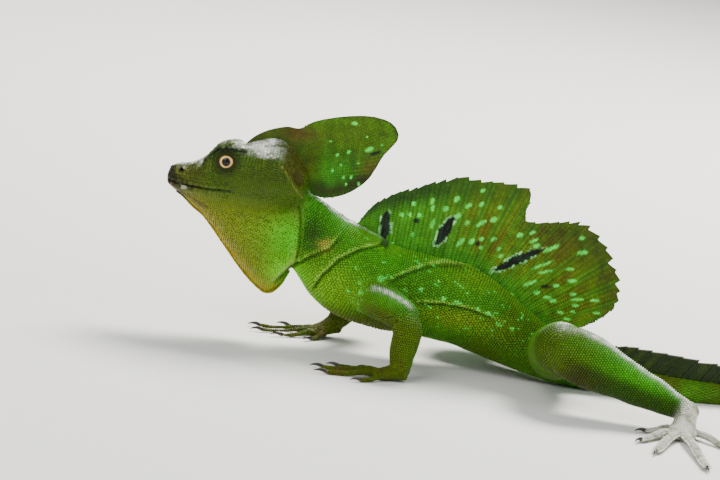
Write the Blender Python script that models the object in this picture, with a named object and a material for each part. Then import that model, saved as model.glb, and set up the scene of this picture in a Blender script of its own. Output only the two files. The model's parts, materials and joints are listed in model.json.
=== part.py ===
"""Green basilisk, an adult male lizard, as a still life-size model.

The animal stands on the floor, its head towards -X, its left side towards -Y and +Z up.
Sizes are in millimetres and become metres where a mesh is made. The body, neck and legs
are tubes joined into one surface and then parted by thin cuts; head, throat, fins, hands
and feet are made one by one and trimmed clear of what they grow from.
"""

import math

import bmesh
import bpy
import numpy as np
from mathutils import Matrix, Vector

MM = 0.001
GAP = 0.3           # clear space between touching parts
SKIN_VOXEL = 1.15   # grid of the joined body surface
BODY_TRIANGLES = 2800
TAIL_RINGS = 12     # in each length of the tail
FLOOR_SINK = 0.35   # how far soles and tail are pressed into the floor, which cuts them flat
FLOOR_BLOCK = (800.0, 600.0, 40.0)
MOUTH_CROWDING = 0.34  # how closely the head's corners crowd along the mouth line
THROAT_SIDES = 9
DIGIT_START = 2.0      # height at which fingers and toes leave the palm or sole
NECK_CUT = (-9.0, 0.0, 41.0)
NECK_DIRECTION = (0.82, 0.0, -0.57)

# Colours of the finished animal, read off the photograph by eye
LEAF_GREEN = (0.10, 0.36, 0.03)
OLIVE_GREEN = (0.13, 0.24, 0.02)
DARK_OLIVE = (0.07, 0.12, 0.02)
ASH_GREY = (0.42, 0.44, 0.36)
AMBER = (0.75, 0.42, 0.12)
SKIN_ROUGHNESS = 0.55
EYE_ROUGHNESS = 0.1

# Spine from inside the head to the root of the tail:
# x, y, z of the middle, half height, half width
SPINE = (
    (-41.0, 0.0, 65.0, 10.5, 9.5),
    (-30.0, 0.0, 57.0, 12.2, 11.2),
    (-17.0, 0.0, 46.0, 16.4, 13.0),
    (-3.0, 0.0, 36.6, 20.3, 15.5),
    (12.0, 0.0, 31.8, 19.2, 16.4),
    (30.0, 0.0, 30.5, 18.3, 15.8),
    (45.0, 0.0, 29.4, 18.2, 15.3),
    (58.0, 0.0, 25.0, 16.6, 14.6),
    (70.0, 0.0, 19.8, 14.4, 13.8),
    (82.0, 0.0, 15.0, 12.2, 13.0),
    (93.0, 0.0, 11.6, 10.7, 11.6),
    (105.0, 0.0, 8.5, 8.6, 8.8),
    (116.0, 0.0, 7.4, 7.6, 7.2),
)

# The tail starts where the spine ends and lies on the floor in one long double bend
TAIL_START = 105.0
TAIL_LENGTH = 470.0
TAIL_SWING = 26.0       # degrees that it turns to either side
TAIL_WAVE = 430.0       # length of the double bend
TAIL_CUTS = (0.0, 0.43, 0.72, 1.0)
# share of the length, half height, half width
TAIL_TAPER = (
    (0.00, 8.6, 8.8), (0.03, 7.0, 6.7), (0.07, 5.8, 5.4), (0.13, 4.9, 4.4), (0.22, 4.3, 3.8),
    (0.45, 3.3, 3.0), (0.70, 2.4, 2.2), (0.90, 1.4, 1.3), (1.00, 0.8, 0.8),
)

# Head: x, top, bottom, half width, level of the mouth line and behind it of the cheek
HEAD = (
    (-88.0, 66.0, 64.6, 0.4, 65.0),
    (-87.4, 68.6, 62.8, 2.6, 64.4),
    (-85.6, 70.4, 61.3, 4.8, 64.0),
    (-80.0, 72.3, 58.8, 7.0, 63.6),
    (-75.0, 74.4, 56.6, 8.6, 63.5),
    (-70.0, 78.0, 55.2, 10.2, 63.6),
    (-65.0, 81.4, 54.2, 11.6, 64.0),
    (-60.0, 83.0, 53.4, 12.8, 64.7),
    (-55.0, 84.2, 52.6, 14.0, 65.4),
    (-50.0, 86.0, 52.0, 14.9, 66.0),
    (-45.0, 87.6, 51.6, 15.4, 66.4),
    (-40.0, 87.4, 51.6, 15.1, 66.8),
    (-35.0, 84.6, 52.4, 14.0, 67.2),
    (-30.0, 79.6, 55.0, 11.6, 67.4),
    (-27.0, 75.0, 59.0, 8.0, 67.4),
    (-25.8, 68.6, 66.4, 0.8, 67.4),
)
MOUTH_CORNER = -59.0
MOUTH_DEPTH = 1.1
LIP_RISE = 0.35
# Ridges along the head: x of the middle, half length, angle up from the side in degrees,
# half angle, rise
BROW = (-63.6, 7.6, 60.0, 17.0, 4.0)
CANTHUS = (-78.5, 6.5, 50.0, 13.0, 0.8)
CROWN = (-42.0, 15.0, 90.0, 11.0, 1.3)
RIDGE_LEAN = 0.9          # how much the ridges stand out sideways, as a share of their rise
# Soft swellings on each side: middle, reach along each axis, how far they stand out
EYE_SWELLING = ((-63.0, 8.0, 76.4), (5.8, 6.0, 5.2), 0.9)
CHEEK_SWELLING = ((-44.0, 15.5, 64.0), (10.0, 8.0, 9.0), 1.0)
EYE_CENTRE = (-63.0, 5.5, 76.8)
EYE_RADIUS = 4.8
LID_THICKNESS = 0.65
LID_OPENING = (3.3, 3.0)  # half length along the head, half height
NOSTRIL = (-81.8, 4.8, 70.4)
NOSTRIL_RING = (0.95, 0.42)
EARDRUM = (-35.6, 14.0, 71.4)
EARDRUM_RING = (2.9, 0.5)
EARDRUM_DISH = 6.0
EARDRUM_DEPTH = 0.65

# Throat pouch: x, lowest point, half width under the jaw; its top is hidden in the jaw
THROAT_TOP = 60.5
THROAT = (
    (-84.5, 60.2, 2.2), (-80.0, 57.8, 4.6), (-75.0, 53.9, 6.6), (-69.3, 50.2, 8.4),
    (-64.5, 45.4, 9.8), (-57.0, 37.2, 11.6), (-47.4, 27.3, 13.2), (-42.0, 23.0, 13.4),
    (-37.7, 20.8, 13.2), (-33.5, 22.8, 12.6), (-30.0, 29.0, 11.2), (-27.6, 38.0, 8.6), (-26.6, 48.0, 3.0),
)
THROAT_FULLNESS = 2.0    # 2 is an even curve from jaw to keel, more is a fuller bag

# Crests, seen from the side: x, z of a ray's root and x, z of its tip
HEAD_CREST = (
    (-56.5, 81.0, -56.0, 84.8), (-53.5, 82.5, -52.5, 88.6), (-49.5, 84.0, -47.0, 92.2),
    (-44.0, 85.0, -39.5, 94.9), (-39.5, 85.0, -33.4, 95.2), (-37.0, 84.0, -27.0, 99.4),
    (-34.5, 82.5, -15.0, 103.4), (-33.0, 81.0, -3.0, 105.3), (-32.0, 79.0, 6.0, 103.6),
    (-31.0, 77.0, 9.8, 97.6), (-30.0, 75.0, 4.4, 88.4), (-29.0, 73.0, -0.4, 77.6),
    (-28.5, 71.0, -8.0, 70.2), (-28.5, 69.0, -16.6, 66.6), (-28.5, 67.5, -22.6, 67.2),
)
SAIL = (
    (-2.5, 53.0, -1.5, 58.6), (1.5, 51.0, 1.7, 64.2), (5.0, 50.0, 5.3, 68.2), (10.0, 48.0, 10.4, 72.0),
    (16.0, 47.5, 16.8, 75.2), (22.0, 47.5, 23.4, 78.2), (29.0, 47.2, 31.0, 81.6), (36.0, 46.8, 40.0, 84.6),
    (43.0, 46.2, 50.0, 84.6), (49.0, 44.8, 59.5, 84.8), (53.5, 42.6, 70.4, 83.6),
    (57.0, 40.6, 70.4, 71.0), (60.5, 38.6, 80.0, 70.6), (64.5, 36.6, 88.8, 72.4), (68.5, 34.2, 97.6, 72.6),
    (72.5, 31.4, 106.4, 65.2), (76.5, 28.8, 112.2, 56.6), (80.5, 26.6, 116.0, 48.0),
    (84.5, 24.4, 116.0, 39.4), (88.5, 22.4, 110.6, 33.0), (92.5, 20.8, 103.0, 28.4), (95.0, 19.8, 98.0, 24.6),
)
# Tail crest: share of the tail's length, height over the tail, lean of its rays in degrees
TAIL_CREST = (
    (0.008, 5.0, 42.0), (0.03, 8.4, 40.0), (0.07, 9.3, 36.0), (0.12, 8.6, 36.0),
    (0.20, 7.0, 38.0), (0.30, 4.8, 42.0), (0.38, 2.6, 48.0), (0.415, 1.2, 55.0),
)
RAYS = {"head_crest": 12, "sail": 21, "tail_crest": 20}
RAY_ROWS = {"head_crest": 5, "sail": 6, "tail_crest": 3}
RAY_COLUMNS = 3          # one on the ray's ridge, the others on the membrane
ROOT_DEPTH = 2.4         # how deep the tail crest's rays start inside the tail
FIN_HALF = (0.95, 0.40)  # half thickness at the root and at the edge of a fin
MEMBRANE_SHARE = 0.66    # thickness of the membrane, as a share of the rays'
SCALLOP = 0.045          # how far the edge falls back between rays, as a share of their length

# Joints of the legs: x, y, z
LEG_JOINTS = {
    "upper_arm_left": ((4.0, -9.0, 31.5), (26.4, -42.0, 27.0)),
    "forearm_left": ((26.4, -42.0, 27.0), (25.6, -46.0, 5.5)),
    "thigh_left": ((92.0, -7.0, 14.5), (91.5, -54.0, 27.5)),
    "shank_left": ((91.5, -54.0, 27.5), (149.0, -60.0, 9.5)),
    "upper_arm_right": ((2.0, 9.0, 31.5), (14.0, 42.0, 27.0)),
    "forearm_right": ((14.0, 42.0, 27.0), (-6.0, 24.0, 7.0)),
    "thigh_right": ((91.0, 7.0, 14.5), (50.0, 41.0, 27.5)),
    "shank_right": ((50.0, 41.0, 27.5), (104.0, 61.0, 8.5)),
}
# share of the way along, radius
LEG_TAPERS = {
    "upper_arm": ((0.0, 9.8), (0.3, 9.0), (0.6, 7.8), (0.85, 6.8), (1.0, 6.3)),
    "forearm": ((0.0, 6.2), (0.25, 6.4), (0.5, 5.9), (0.8, 5.3), (1.0, 5.0)),
    "thigh": ((0.0, 10.5), (0.3, 12.0), (0.6, 12.0), (0.85, 11.4), (1.0, 11.0)),
    "shank": ((0.0, 11.0), (0.2, 11.9), (0.42, 9.9), (0.65, 8.1), (0.85, 6.1), (1.0, 4.6)),
}
# Cuts between trunk and legs: x, y, z of the middle, radius
FLANK_CUTS = {
    "upper_arm_left": (10.0, -17.9, 30.6, 17.0),
    "upper_arm_right": (5.0, 17.9, 30.3, 17.0),
    "thigh_left": (92.0, -14.6, 16.6, 16.5),
    "thigh_right": (81.0, 15.8, 17.6, 24.0),
}
ELBOW_CUT = 21.0
KNEE_CUT = 28.0

# Hands and feet: heading in degrees from +X, and which way the inner toe lies
PAWS = {
    "hand_left": ("forearm_left", 183.0, -1.0),
    "hand_right": ("forearm_right", 198.0, 1.0),
    "foot_left": ("shank_left", 262.0, -1.0),
    "foot_right": ("shank_right", 128.0, 1.0),
}
# Palm and sole: how far ahead of the wrist, height as a share of the wrist's, half height, half width
PALM = (
    (-4.6, 1.0, 0.6, 0.8), (-3.4, 1.0, 3.4, 3.9), (0.0, 0.86, 4.2, 4.9), (4.0, 0.56, 3.1, 5.6),
    (8.0, 0.38, 2.4, 5.6), (11.0, 0.30, 1.4, 3.6), (11.8, 0.28, 0.4, 1.0),
)
SOLE = (
    (-4.4, 1.0, 0.6, 0.8), (-3.2, 1.0, 3.4, 3.5), (1.0, 0.84, 4.0, 4.4), (7.0, 0.50, 3.4, 5.2),
    (13.0, 0.30, 2.7, 6.2), (17.0, 0.22, 1.8, 4.8), (18.4, 0.20, 0.4, 1.2),
)
# Digits from the inner to the outer: how far ahead and aside they start, length, heading,
# bend, radius
FINGERS = (
    (4.0, 3.4, 11.5, 48.0, -14.0, 1.35),
    (8.0, 3.0, 18.0, 22.0, -10.0, 1.45),
    (9.4, 0.6, 22.5, 4.0, -2.0, 1.5),
    (8.6, -2.0, 22.5, -16.0, 6.0, 1.45),
    (5.0, -3.8, 14.5, -46.0, 14.0, 1.35),
)
TOES = (
    (5.0, 3.2, 15.0, 62.0, -16.0, 1.5),
    (11.5, 3.8, 24.0, 34.0, -12.0, 1.65),
    (15.0, 2.0, 34.0, 12.0, -6.0, 1.75),
    (15.4, -1.6, 47.0, -16.0, 2.0, 1.8),
    (5.0, -3.6, 25.0, -58.0, 18.0, 1.6),
)
CLAW = (5.0, 0.85)       # length, radius at its root
CLAW_ARCH = 1.0


def curve(table, at):
    """Smooth values between the rows of a table whose first column is the place along it."""
    table = np.asarray(table, float)
    at = np.atleast_1d(np.asarray(at, float))
    place, values = table[:, 0], table[:, 1:]
    slopes = np.gradient(values, place, axis=0)
    row = np.clip(np.searchsorted(place, at) - 1, 0, len(place) - 2)
    step = (place[row + 1] - place[row])[:, None]
    t = ((at - place[row])[:, None] / step).clip(0.0, 1.0)
    return (
        (2 * t**3 - 3 * t**2 + 1) * values[row]
        + (t**3 - 2 * t**2 + t) * step * slopes[row]
        + (3 * t**2 - 2 * t**3) * values[row + 1]
        + (t**3 - t**2) * step * slopes[row + 1]
    )


def spread(first, last, count):
    """Places from first to last, closer together at both ends, so that ends come out round."""
    return first + (last - first) * (1 - np.cos(np.linspace(0.0, math.pi, count))) / 2


def unit(vectors):
    return vectors / np.linalg.norm(vectors, axis=-1, keepdims=True)


def rings_round(centres, half_height, half_width, sides, power=2.0, along=None):
    """Rings of points round a path, each square to the path or to along, its width level with the floor."""
    if along is None:
        along = unit(np.gradient(centres, axis=0))
    level = unit(np.cross(along, (0.0, 0.0, 1.0)) + (1e-9, 0.0, 0.0))
    up = np.cross(level, along)
    angle = np.linspace(0.0, 2 * math.pi, sides, endpoint=False)
    c, s = np.cos(angle), np.sin(angle)
    wide = np.sign(c) * np.abs(c) ** (2 / power)
    high = np.sign(s) * np.abs(s) ** (2 / power)
    return (
        centres[:, None]
        + level[:, None] * (half_width[:, None] * wide)[..., None]
        + up[:, None] * (half_height[:, None] * high)[..., None]
    )


def mesh_object(name, points, faces):
    """A closed mesh with its faces pointing out."""
    mesh = bpy.data.meshes.new(name)
    mesh.from_pydata((np.asarray(points) * MM).tolist(), [], faces)
    shell = bmesh.new()
    shell.from_mesh(mesh)
    bmesh.ops.remove_doubles(shell, verts=shell.verts, dist=0.01 * MM)
    bmesh.ops.recalc_face_normals(shell, faces=shell.faces)
    if shell.calc_volume(signed=True) < 0:
        bmesh.ops.reverse_faces(shell, faces=shell.faces)
    shell.to_mesh(mesh)
    shell.free()
    obj = bpy.data.objects.new(name, mesh)
    bpy.context.scene.collection.objects.link(obj)
    return obj


def paint(obj, colour, roughness=SKIN_ROUGHNESS):
    """Gives obj a material of its own."""
    material = bpy.data.materials.new(obj.name + "_finish")
    material.use_nodes = True
    shader = material.node_tree.nodes["Principled BSDF"]
    shader.inputs["Base Color"].default_value = (*colour, 1.0)
    shader.inputs["Roughness"].default_value = roughness
    shader.inputs["Metallic"].default_value = 0.0
    obj.data.materials.clear()
    obj.data.materials.append(material)


def closed_rings(name, rings):
    """A tube through rings of points, closed by a fan at each end."""
    count, sides = rings.shape[:2]
    points = np.concatenate([rings.reshape(-1, 3), rings[:1].mean(1), rings[-1:].mean(1)])
    faces = [
        (i * sides + j, i * sides + (j + 1) % sides, (i + 1) * sides + (j + 1) % sides, (i + 1) * sides + j)
        for i in range(count - 1)
        for j in range(sides)
    ]
    first, last = count * sides, count * sides + 1
    end = (count - 1) * sides
    faces += [(first, (j + 1) % sides, j) for j in range(sides)]
    faces += [(last, end + j, end + (j + 1) % sides) for j in range(sides)]
    return mesh_object(name, points, faces)


def settled(obj):
    """The object with its modifiers applied to its mesh."""
    graph = bpy.context.evaluated_depsgraph_get()
    mesh = bpy.data.meshes.new_from_object(obj.evaluated_get(graph))
    obj.modifiers.clear()
    obj.data = mesh
    return obj


def removed(objects):
    for obj in objects:
        bpy.data.objects.remove(obj)


def combined(obj, others, operation, whole=True):
    """One Boolean of obj with a collection of closed objects, which it uses up.

    Where whole is set, only the largest closed surface of the result is kept.
    """
    group = bpy.data.collections.new(obj.name + "_" + operation.lower())
    bpy.context.scene.collection.children.link(group)
    for other in others:
        group.objects.link(other)
    change = obj.modifiers.new(operation.lower(), "BOOLEAN")
    change.operation = operation
    change.solver = "MANIFOLD"
    change.operand_type = "COLLECTION"
    change.collection = group
    settled(obj)
    removed(others)
    bpy.data.collections.remove(group)
    if whole:
        keep_largest(obj)
    return obj


def shells(bm):
    """The mesh's separate surfaces, each a list of faces."""
    left, found = set(bm.faces), []
    for first in bm.faces:
        if first not in left:
            continue
        left.remove(first)
        todo, shell = [first], [first]
        while todo:
            for edge in todo.pop().edges:
                for face in edge.link_faces:
                    if face in left:
                        left.remove(face)
                        shell.append(face)
                        todo.append(face)
        found.append(shell)
    return found


def keep_largest(obj):
    bm = bmesh.new()
    bm.from_mesh(obj.data)
    parts = sorted(shells(bm), key=lambda shell: sum(face.calc_area() for face in shell))
    scraps = [face for shell in parts[:-1] for face in shell]
    bmesh.ops.delete(bm, geom=scraps, context="FACES")
    bm.to_mesh(obj.data)
    bm.free()


def linked(name, bm):
    """An object made from bm, which it frees."""
    mesh = bpy.data.meshes.new(name)
    bm.to_mesh(mesh)
    bm.free()
    obj = bpy.data.objects.new(name, mesh)
    bpy.context.scene.collection.objects.link(obj)
    return obj


def grown(obj, by=GAP):
    """A copy of obj whose surface is moved out, so that what it cuts keeps clear of obj."""
    copy = bpy.data.objects.new(obj.name + "_grown", obj.data.copy())
    bpy.context.scene.collection.objects.link(copy)
    swell = copy.modifiers.new("swell", "DISPLACE")
    swell.strength = by * MM
    swell.mid_level = 0.0
    return settled(copy)


def slab(centre, along, radius, thickness=GAP, sides=28):
    """A round cutter, square to a direction."""
    disc = bmesh.new()
    bmesh.ops.create_cone(
        disc, cap_ends=True, segments=sides, radius1=radius * MM, radius2=radius * MM, depth=thickness * MM
    )
    turn = Vector(along).to_track_quat("Z", "Y").to_matrix().to_4x4()
    bmesh.ops.transform(disc, matrix=Matrix.Translation(Vector(centre) * MM) @ turn, verts=disc.verts)
    return linked("slab", disc)


def ball(name, centre, radius, rings=8, sides=12):
    """A ball with its poles to the left and right."""
    sphere = bmesh.new()
    bmesh.ops.create_uvsphere(sphere, u_segments=sides, v_segments=rings, radius=radius * MM)
    turn = Matrix.Translation(Vector(centre) * MM) @ Matrix.Rotation(math.pi / 2, 4, "X")
    bmesh.ops.transform(sphere, matrix=turn, verts=sphere.verts)
    return linked(name, sphere)


def hoop(name, centre, outward, radius, roll, around=14, across=5):
    """A ring of round section, square to outward, as a raised rim."""
    angle = np.linspace(0.0, 2 * math.pi, around, endpoint=False)
    turn = np.linspace(0.0, 2 * math.pi, across, endpoint=False)
    axis = unit(np.asarray(outward, float))
    side = unit(np.cross(axis, (0.0, 0.0, 1.0)))
    up = np.cross(side, axis)
    spoke = np.cos(angle)[:, None] * side + np.sin(angle)[:, None] * up
    points = (
        np.asarray(centre, float)
        + spoke[:, None] * (radius + roll * np.cos(turn))[None, :, None]
        + axis * (roll * np.sin(turn))[None, :, None]
    ).reshape(-1, 3)
    faces = [
        (
            i * across + j,
            i * across + (j + 1) % across,
            (i + 1) % around * across + (j + 1) % across,
            (i + 1) % around * across + j,
        )
        for i in range(around)
        for j in range(across)
    ]
    return mesh_object(name, points, faces)


def floor_block():
    """A block whose top is the floor."""
    block = bmesh.new()
    bmesh.ops.create_cube(block, size=1.0)
    size = Vector(FLOOR_BLOCK) * MM
    bmesh.ops.scale(block, vec=size, verts=block.verts)
    bmesh.ops.translate(block, vec=(0.0, 0.0, -size.z / 2), verts=block.verts)
    return linked("floor_block", block)


# Head and throat


def near_point(points, centre, reach):
    """1 at a point, falling softly to 0 over the reach along each axis."""
    distance = np.linalg.norm((points - np.asarray(centre, float)) / np.asarray(reach, float), axis=-1)
    return np.exp(-(distance**2))


def head_rings(count, sides):
    """Head as rings from snout to nape: narrow above, wide at the jaw, the mouth a groove along each side."""
    x = spread(HEAD[0][0], HEAD[-1][0], count)
    top, bottom, width, level = curve(HEAD, x).T
    turn = np.linspace(0.0, 2 * math.pi, sides, endpoint=False)
    angle = turn - MOUTH_CROWDING * np.sin(2 * turn)
    c, s = np.cos(angle), np.sin(angle)
    snout = np.clip((-50.0 - x) / 24.0, 0.0, 1.0)[:, None]
    power = np.where(s > 0, 2.2 + 0.8 * snout, 2.1)
    wide = np.sign(c) * np.abs(c) ** (2 / power)
    high = np.sign(s) * np.abs(s) ** (2 / power)
    narrowing = 1 - (0.24 + 0.10 * snout) * np.clip(high, 0.0, 1.0) - 0.08 * np.clip(-high, 0.0, 1.0)
    reach = np.where(s > 0, (top - level)[:, None], (level - bottom)[:, None])
    offset = reach * high
    mouth = np.clip((MOUTH_CORNER - x) / 2.5, 0.0, 1.0)[:, None]
    groove = np.exp(-((offset / 0.5) ** 2))
    lips = np.exp(-(((np.abs(offset) - 1.3) / 0.8) ** 2))
    across = width[:, None] * wide * narrowing
    across = across + np.sign(c) * mouth * (LIP_RISE * lips - MOUTH_DEPTH * groove) * np.abs(c)
    lift = ridge(x, s, *BROW) + ridge(x, s, *CANTHUS)
    across = across + c * RIDGE_LEAN * lift
    offset = offset + lift + ridge(x, s, *CROWN)
    points = np.stack([np.broadcast_to(x[:, None], wide.shape), across, level[:, None] + offset], axis=-1)
    right = np.stack([points[..., 0], np.abs(across), points[..., 2]], axis=-1)
    for middle, reach, height in (EYE_SWELLING, CHEEK_SWELLING):
        points[..., 1] += np.sign(c) * height * near_point(right, middle, reach)
    return points


def ridge(x, sine, middle, half_length, angle, half_angle, rise):
    """A rise that is flat along the head and fades at its ends, and bell-shaped across it."""
    up = np.degrees(np.arcsin(sine.clip(-1.0, 1.0)))
    along = np.exp(-(((x - middle) / half_length) ** 4))
    return rise * along[:, None] * np.exp(-(((up - angle) / half_angle) ** 2))[None, :]


def on_side(point, side):
    return np.array((point[0], side * point[1], point[2]))


def on_surface(obj, point):
    """The point of obj's surface nearest to point, and the way that the surface faces there."""
    _, place, facing, _ = obj.closest_point_on_mesh(Vector(point) * MM)
    return np.array(place) / MM, np.array(facing)


def head_and_eyes():
    """Head with lids, nostrils and ears, an eyeball in each socket, and a plain copy to cut others by."""
    head = closed_rings("head", head_rings(33, 30))
    clearance = grown(head)
    rims, hollows, eyes = [], [], []
    for name, side in (("left", -1.0), ("right", 1.0)):
        eye = on_side(EYE_CENTRE, side)
        nostril, nostril_facing = on_surface(head, on_side(NOSTRIL, side))
        ear, ear_facing = on_surface(head, on_side(EARDRUM, side))
        rims.append(ball("lids", eye, EYE_RADIUS + GAP + LID_THICKNESS, rings=10, sides=16))
        rims.append(hoop("nostril", nostril, nostril_facing, *NOSTRIL_RING, around=8, across=4))
        rims.append(hoop("ear", ear, ear_facing, *EARDRUM_RING, around=12, across=4))
        hollows.append(ball("socket", eye, EYE_RADIUS + GAP))
        hollows.append(ball("pit", nostril + 0.3 * nostril_facing, 0.65, rings=5, sides=8))
        dish = ear + (EARDRUM_DISH - EARDRUM_DEPTH) * ear_facing
        hollows.append(ball("dish", dish, EARDRUM_DISH, sides=16))
        outward = np.array((0.0, side, 0.0))
        opening = slab(eye + 2 * EYE_RADIUS * outward, outward, 1.0, 4 * EYE_RADIUS, sides=14)
        stretch_about(opening, eye, (LID_OPENING[0], 1.0, LID_OPENING[1]))
        hollows.append(opening)
        eyes.append(ball("eye_" + name, eye, EYE_RADIUS))
    combined(head, rims, "UNION")
    combined(head, hollows, "DIFFERENCE")
    return head, eyes, clearance


def stretch_about(obj, centre, by):
    centre = Vector(centre) * MM
    obj.data.transform(Matrix.Translation(centre) @ Matrix.Diagonal((*by, 1.0)) @ Matrix.Translation(-centre))


def throat_pouch():
    """Pouch under the jaw, a deep bag of skin drawn in to a keel along its lowest line."""
    x = spread(THROAT[0][0], THROAT[-1][0], 20)
    lowest, width = curve(THROAT, x).T
    side_depth = np.linspace(0.0, 1.0, THROAT_SIDES)
    depth = np.concatenate([side_depth, side_depth[-2:0:-1]])
    side = np.concatenate([np.ones(THROAT_SIDES), -np.ones(THROAT_SIDES - 2)])
    taper = (1 - depth**THROAT_FULLNESS) ** 0.8 * np.sqrt((depth / 0.1).clip(0.0, 1.0))
    across = width[:, None] * taper * side
    height = THROAT_TOP - (THROAT_TOP - lowest)[:, None] * depth
    points = np.stack([np.broadcast_to(x[:, None], across.shape), across, height], axis=-1)
    return closed_rings("throat", points)


# Trunk, neck and legs


def spine_tube():
    place = np.arange(len(SPINE), dtype=float)
    fine = np.linspace(0.0, len(SPINE) - 1.0, 60)
    rows = curve(np.column_stack([place, np.asarray(SPINE)]), fine)
    return closed_rings("trunk", rings_round(rows[:, :3], rows[:, 3], rows[:, 4], 32, 2.15))


def leg_tube(name):
    """One length of a leg between two joints, its ends rounded off a little past them."""
    start, end = (np.asarray(point) for point in LEG_JOINTS[name])
    taper = LEG_TAPERS[name.rsplit("_", 1)[0]]
    length = np.linalg.norm(end - start)
    ends = (-0.4 * taper[0][1] / length, 1.0 + 0.4 * taper[-1][1] / length)
    place = spread(*ends, 16)
    radius = curve(taper, place.clip(0.0, 1.0))[:, 0]
    inset = np.minimum(place - ends[0], ends[1] - place) * length
    radius = radius * np.sqrt(1 - (1 - (inset / radius).clip(0.0, 1.0)) ** 2).clip(0.06, 1.0)
    return closed_rings(name, rings_round(start + (end - start) * place[:, None], radius, radius, 20))


def joint_cut(upper, lower, radius):
    """A thin cut through a bent joint, halfway between the directions of its two lengths."""
    start, joint = (Vector(point) for point in LEG_JOINTS[upper])
    end = Vector(LEG_JOINTS[lower][1])
    return slab(joint, (joint - start).normalized() + (end - joint).normalized(), radius)


def body_parts(clearances):
    """Trunk and legs as one smooth surface, cut clear of head, throat and paws and parted at the joints."""
    trunk = spine_tube()
    combined(trunk, [leg_tube(name) for name in LEG_JOINTS], "UNION")
    skin = trunk.modifiers.new("skin", "REMESH")
    skin.mode = "VOXEL"
    skin.voxel_size = SKIN_VOXEL * MM
    soften = trunk.modifiers.new("soften", "SMOOTH")
    soften.factor = 0.5
    soften.iterations = 9
    settled(trunk)
    thin = trunk.modifiers.new("thin", "DECIMATE")
    thin.ratio = BODY_TRIANGLES / sum(len(face.vertices) - 2 for face in trunk.data.polygons)
    settled(trunk)
    clearance = grown(trunk)
    cuts = [floor_block(), slab(NECK_CUT, NECK_DIRECTION, 30.0)]
    cuts.append(slab((TAIL_START + 20.0, 0.0, 8.0), (1.0, 0.0, 0.0), 24.0, thickness=40.0))
    for x, y, z, radius in FLANK_CUTS.values():
        cuts.append(slab((x, y, z), (0.0, 1.0, 0.0), radius))
    for side in ("left", "right"):
        cuts.append(joint_cut("upper_arm_" + side, "forearm_" + side, ELBOW_CUT))
        cuts.append(joint_cut("thigh_" + side, "shank_" + side, KNEE_CUT))
    combined(trunk, clearances, "DIFFERENCE", whole=False)
    combined(trunk, cuts, "DIFFERENCE", whole=False)
    places = {name: np.mean(ends, axis=0) for name, ends in LEG_JOINTS.items()}
    places["neck"] = np.mean(SPINE[1:3], axis=0)[:3]
    places["torso"] = np.array(SPINE[6][:3])
    return parted(trunk, places), clearance


def parted(obj, places):
    """Splits obj into its largest separate surfaces, each named for the place that its middle is nearest."""
    bm = bmesh.new()
    bm.from_mesh(obj.data)
    largest = sorted(shells(bm), key=lambda shell: -sum(face.calc_area() for face in shell))[: len(places)]
    found = {}
    for shell in largest:
        corners = list(dict.fromkeys(vert for face in shell for vert in face.verts))
        middle = np.mean([vert.co for vert in corners], axis=0) / MM
        name = min(places, key=lambda each: np.linalg.norm(places[each] - middle))
        index = {vert: number for number, vert in enumerate(corners)}
        points = [vert.co / MM for vert in corners]
        faces = [tuple(index[vert] for vert in face.verts) for face in shell]
        found[name] = mesh_object(name, points, faces)
    bm.free()
    removed([obj])
    return found


# Tail


def tail_line(share):
    """Middle of the tail, its direction, half height and half width at shares of its length."""
    fine = np.linspace(0.0, 1.0, 400)
    heading = np.radians(TAIL_SWING) * np.sin(2 * math.pi * fine * TAIL_LENGTH / TAIL_WAVE)
    step = TAIL_LENGTH / (len(fine) - 1)
    x = TAIL_START + np.concatenate([[0.0], np.cumsum(np.cos(heading[:-1]) * step)])
    y = np.concatenate([[0.0], np.cumsum(np.sin(heading[:-1]) * step)])
    half_height, half_width = curve(TAIL_TAPER, share).T
    middle = np.column_stack([np.interp(share, fine, x), np.interp(share, fine, y), half_height - FLOOR_SINK])
    turn = np.interp(share, fine, heading)
    along = np.column_stack([np.cos(turn), np.sin(turn), np.zeros(len(turn))])
    return middle, along, half_height, half_width


def tail_length(name, first, last):
    """One length of the tail, flat where it lies on the floor."""
    inset = GAP / 2 / TAIL_LENGTH
    share = np.linspace(first + inset, last - inset, TAIL_RINGS)
    middle, along, half_height, half_width = tail_line(share)
    rings = rings_round(middle, half_height, half_width, 14, along=along)
    rings[..., 2] = rings[..., 2].clip(0.0)
    return closed_rings(name, rings)


# Crests


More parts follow.
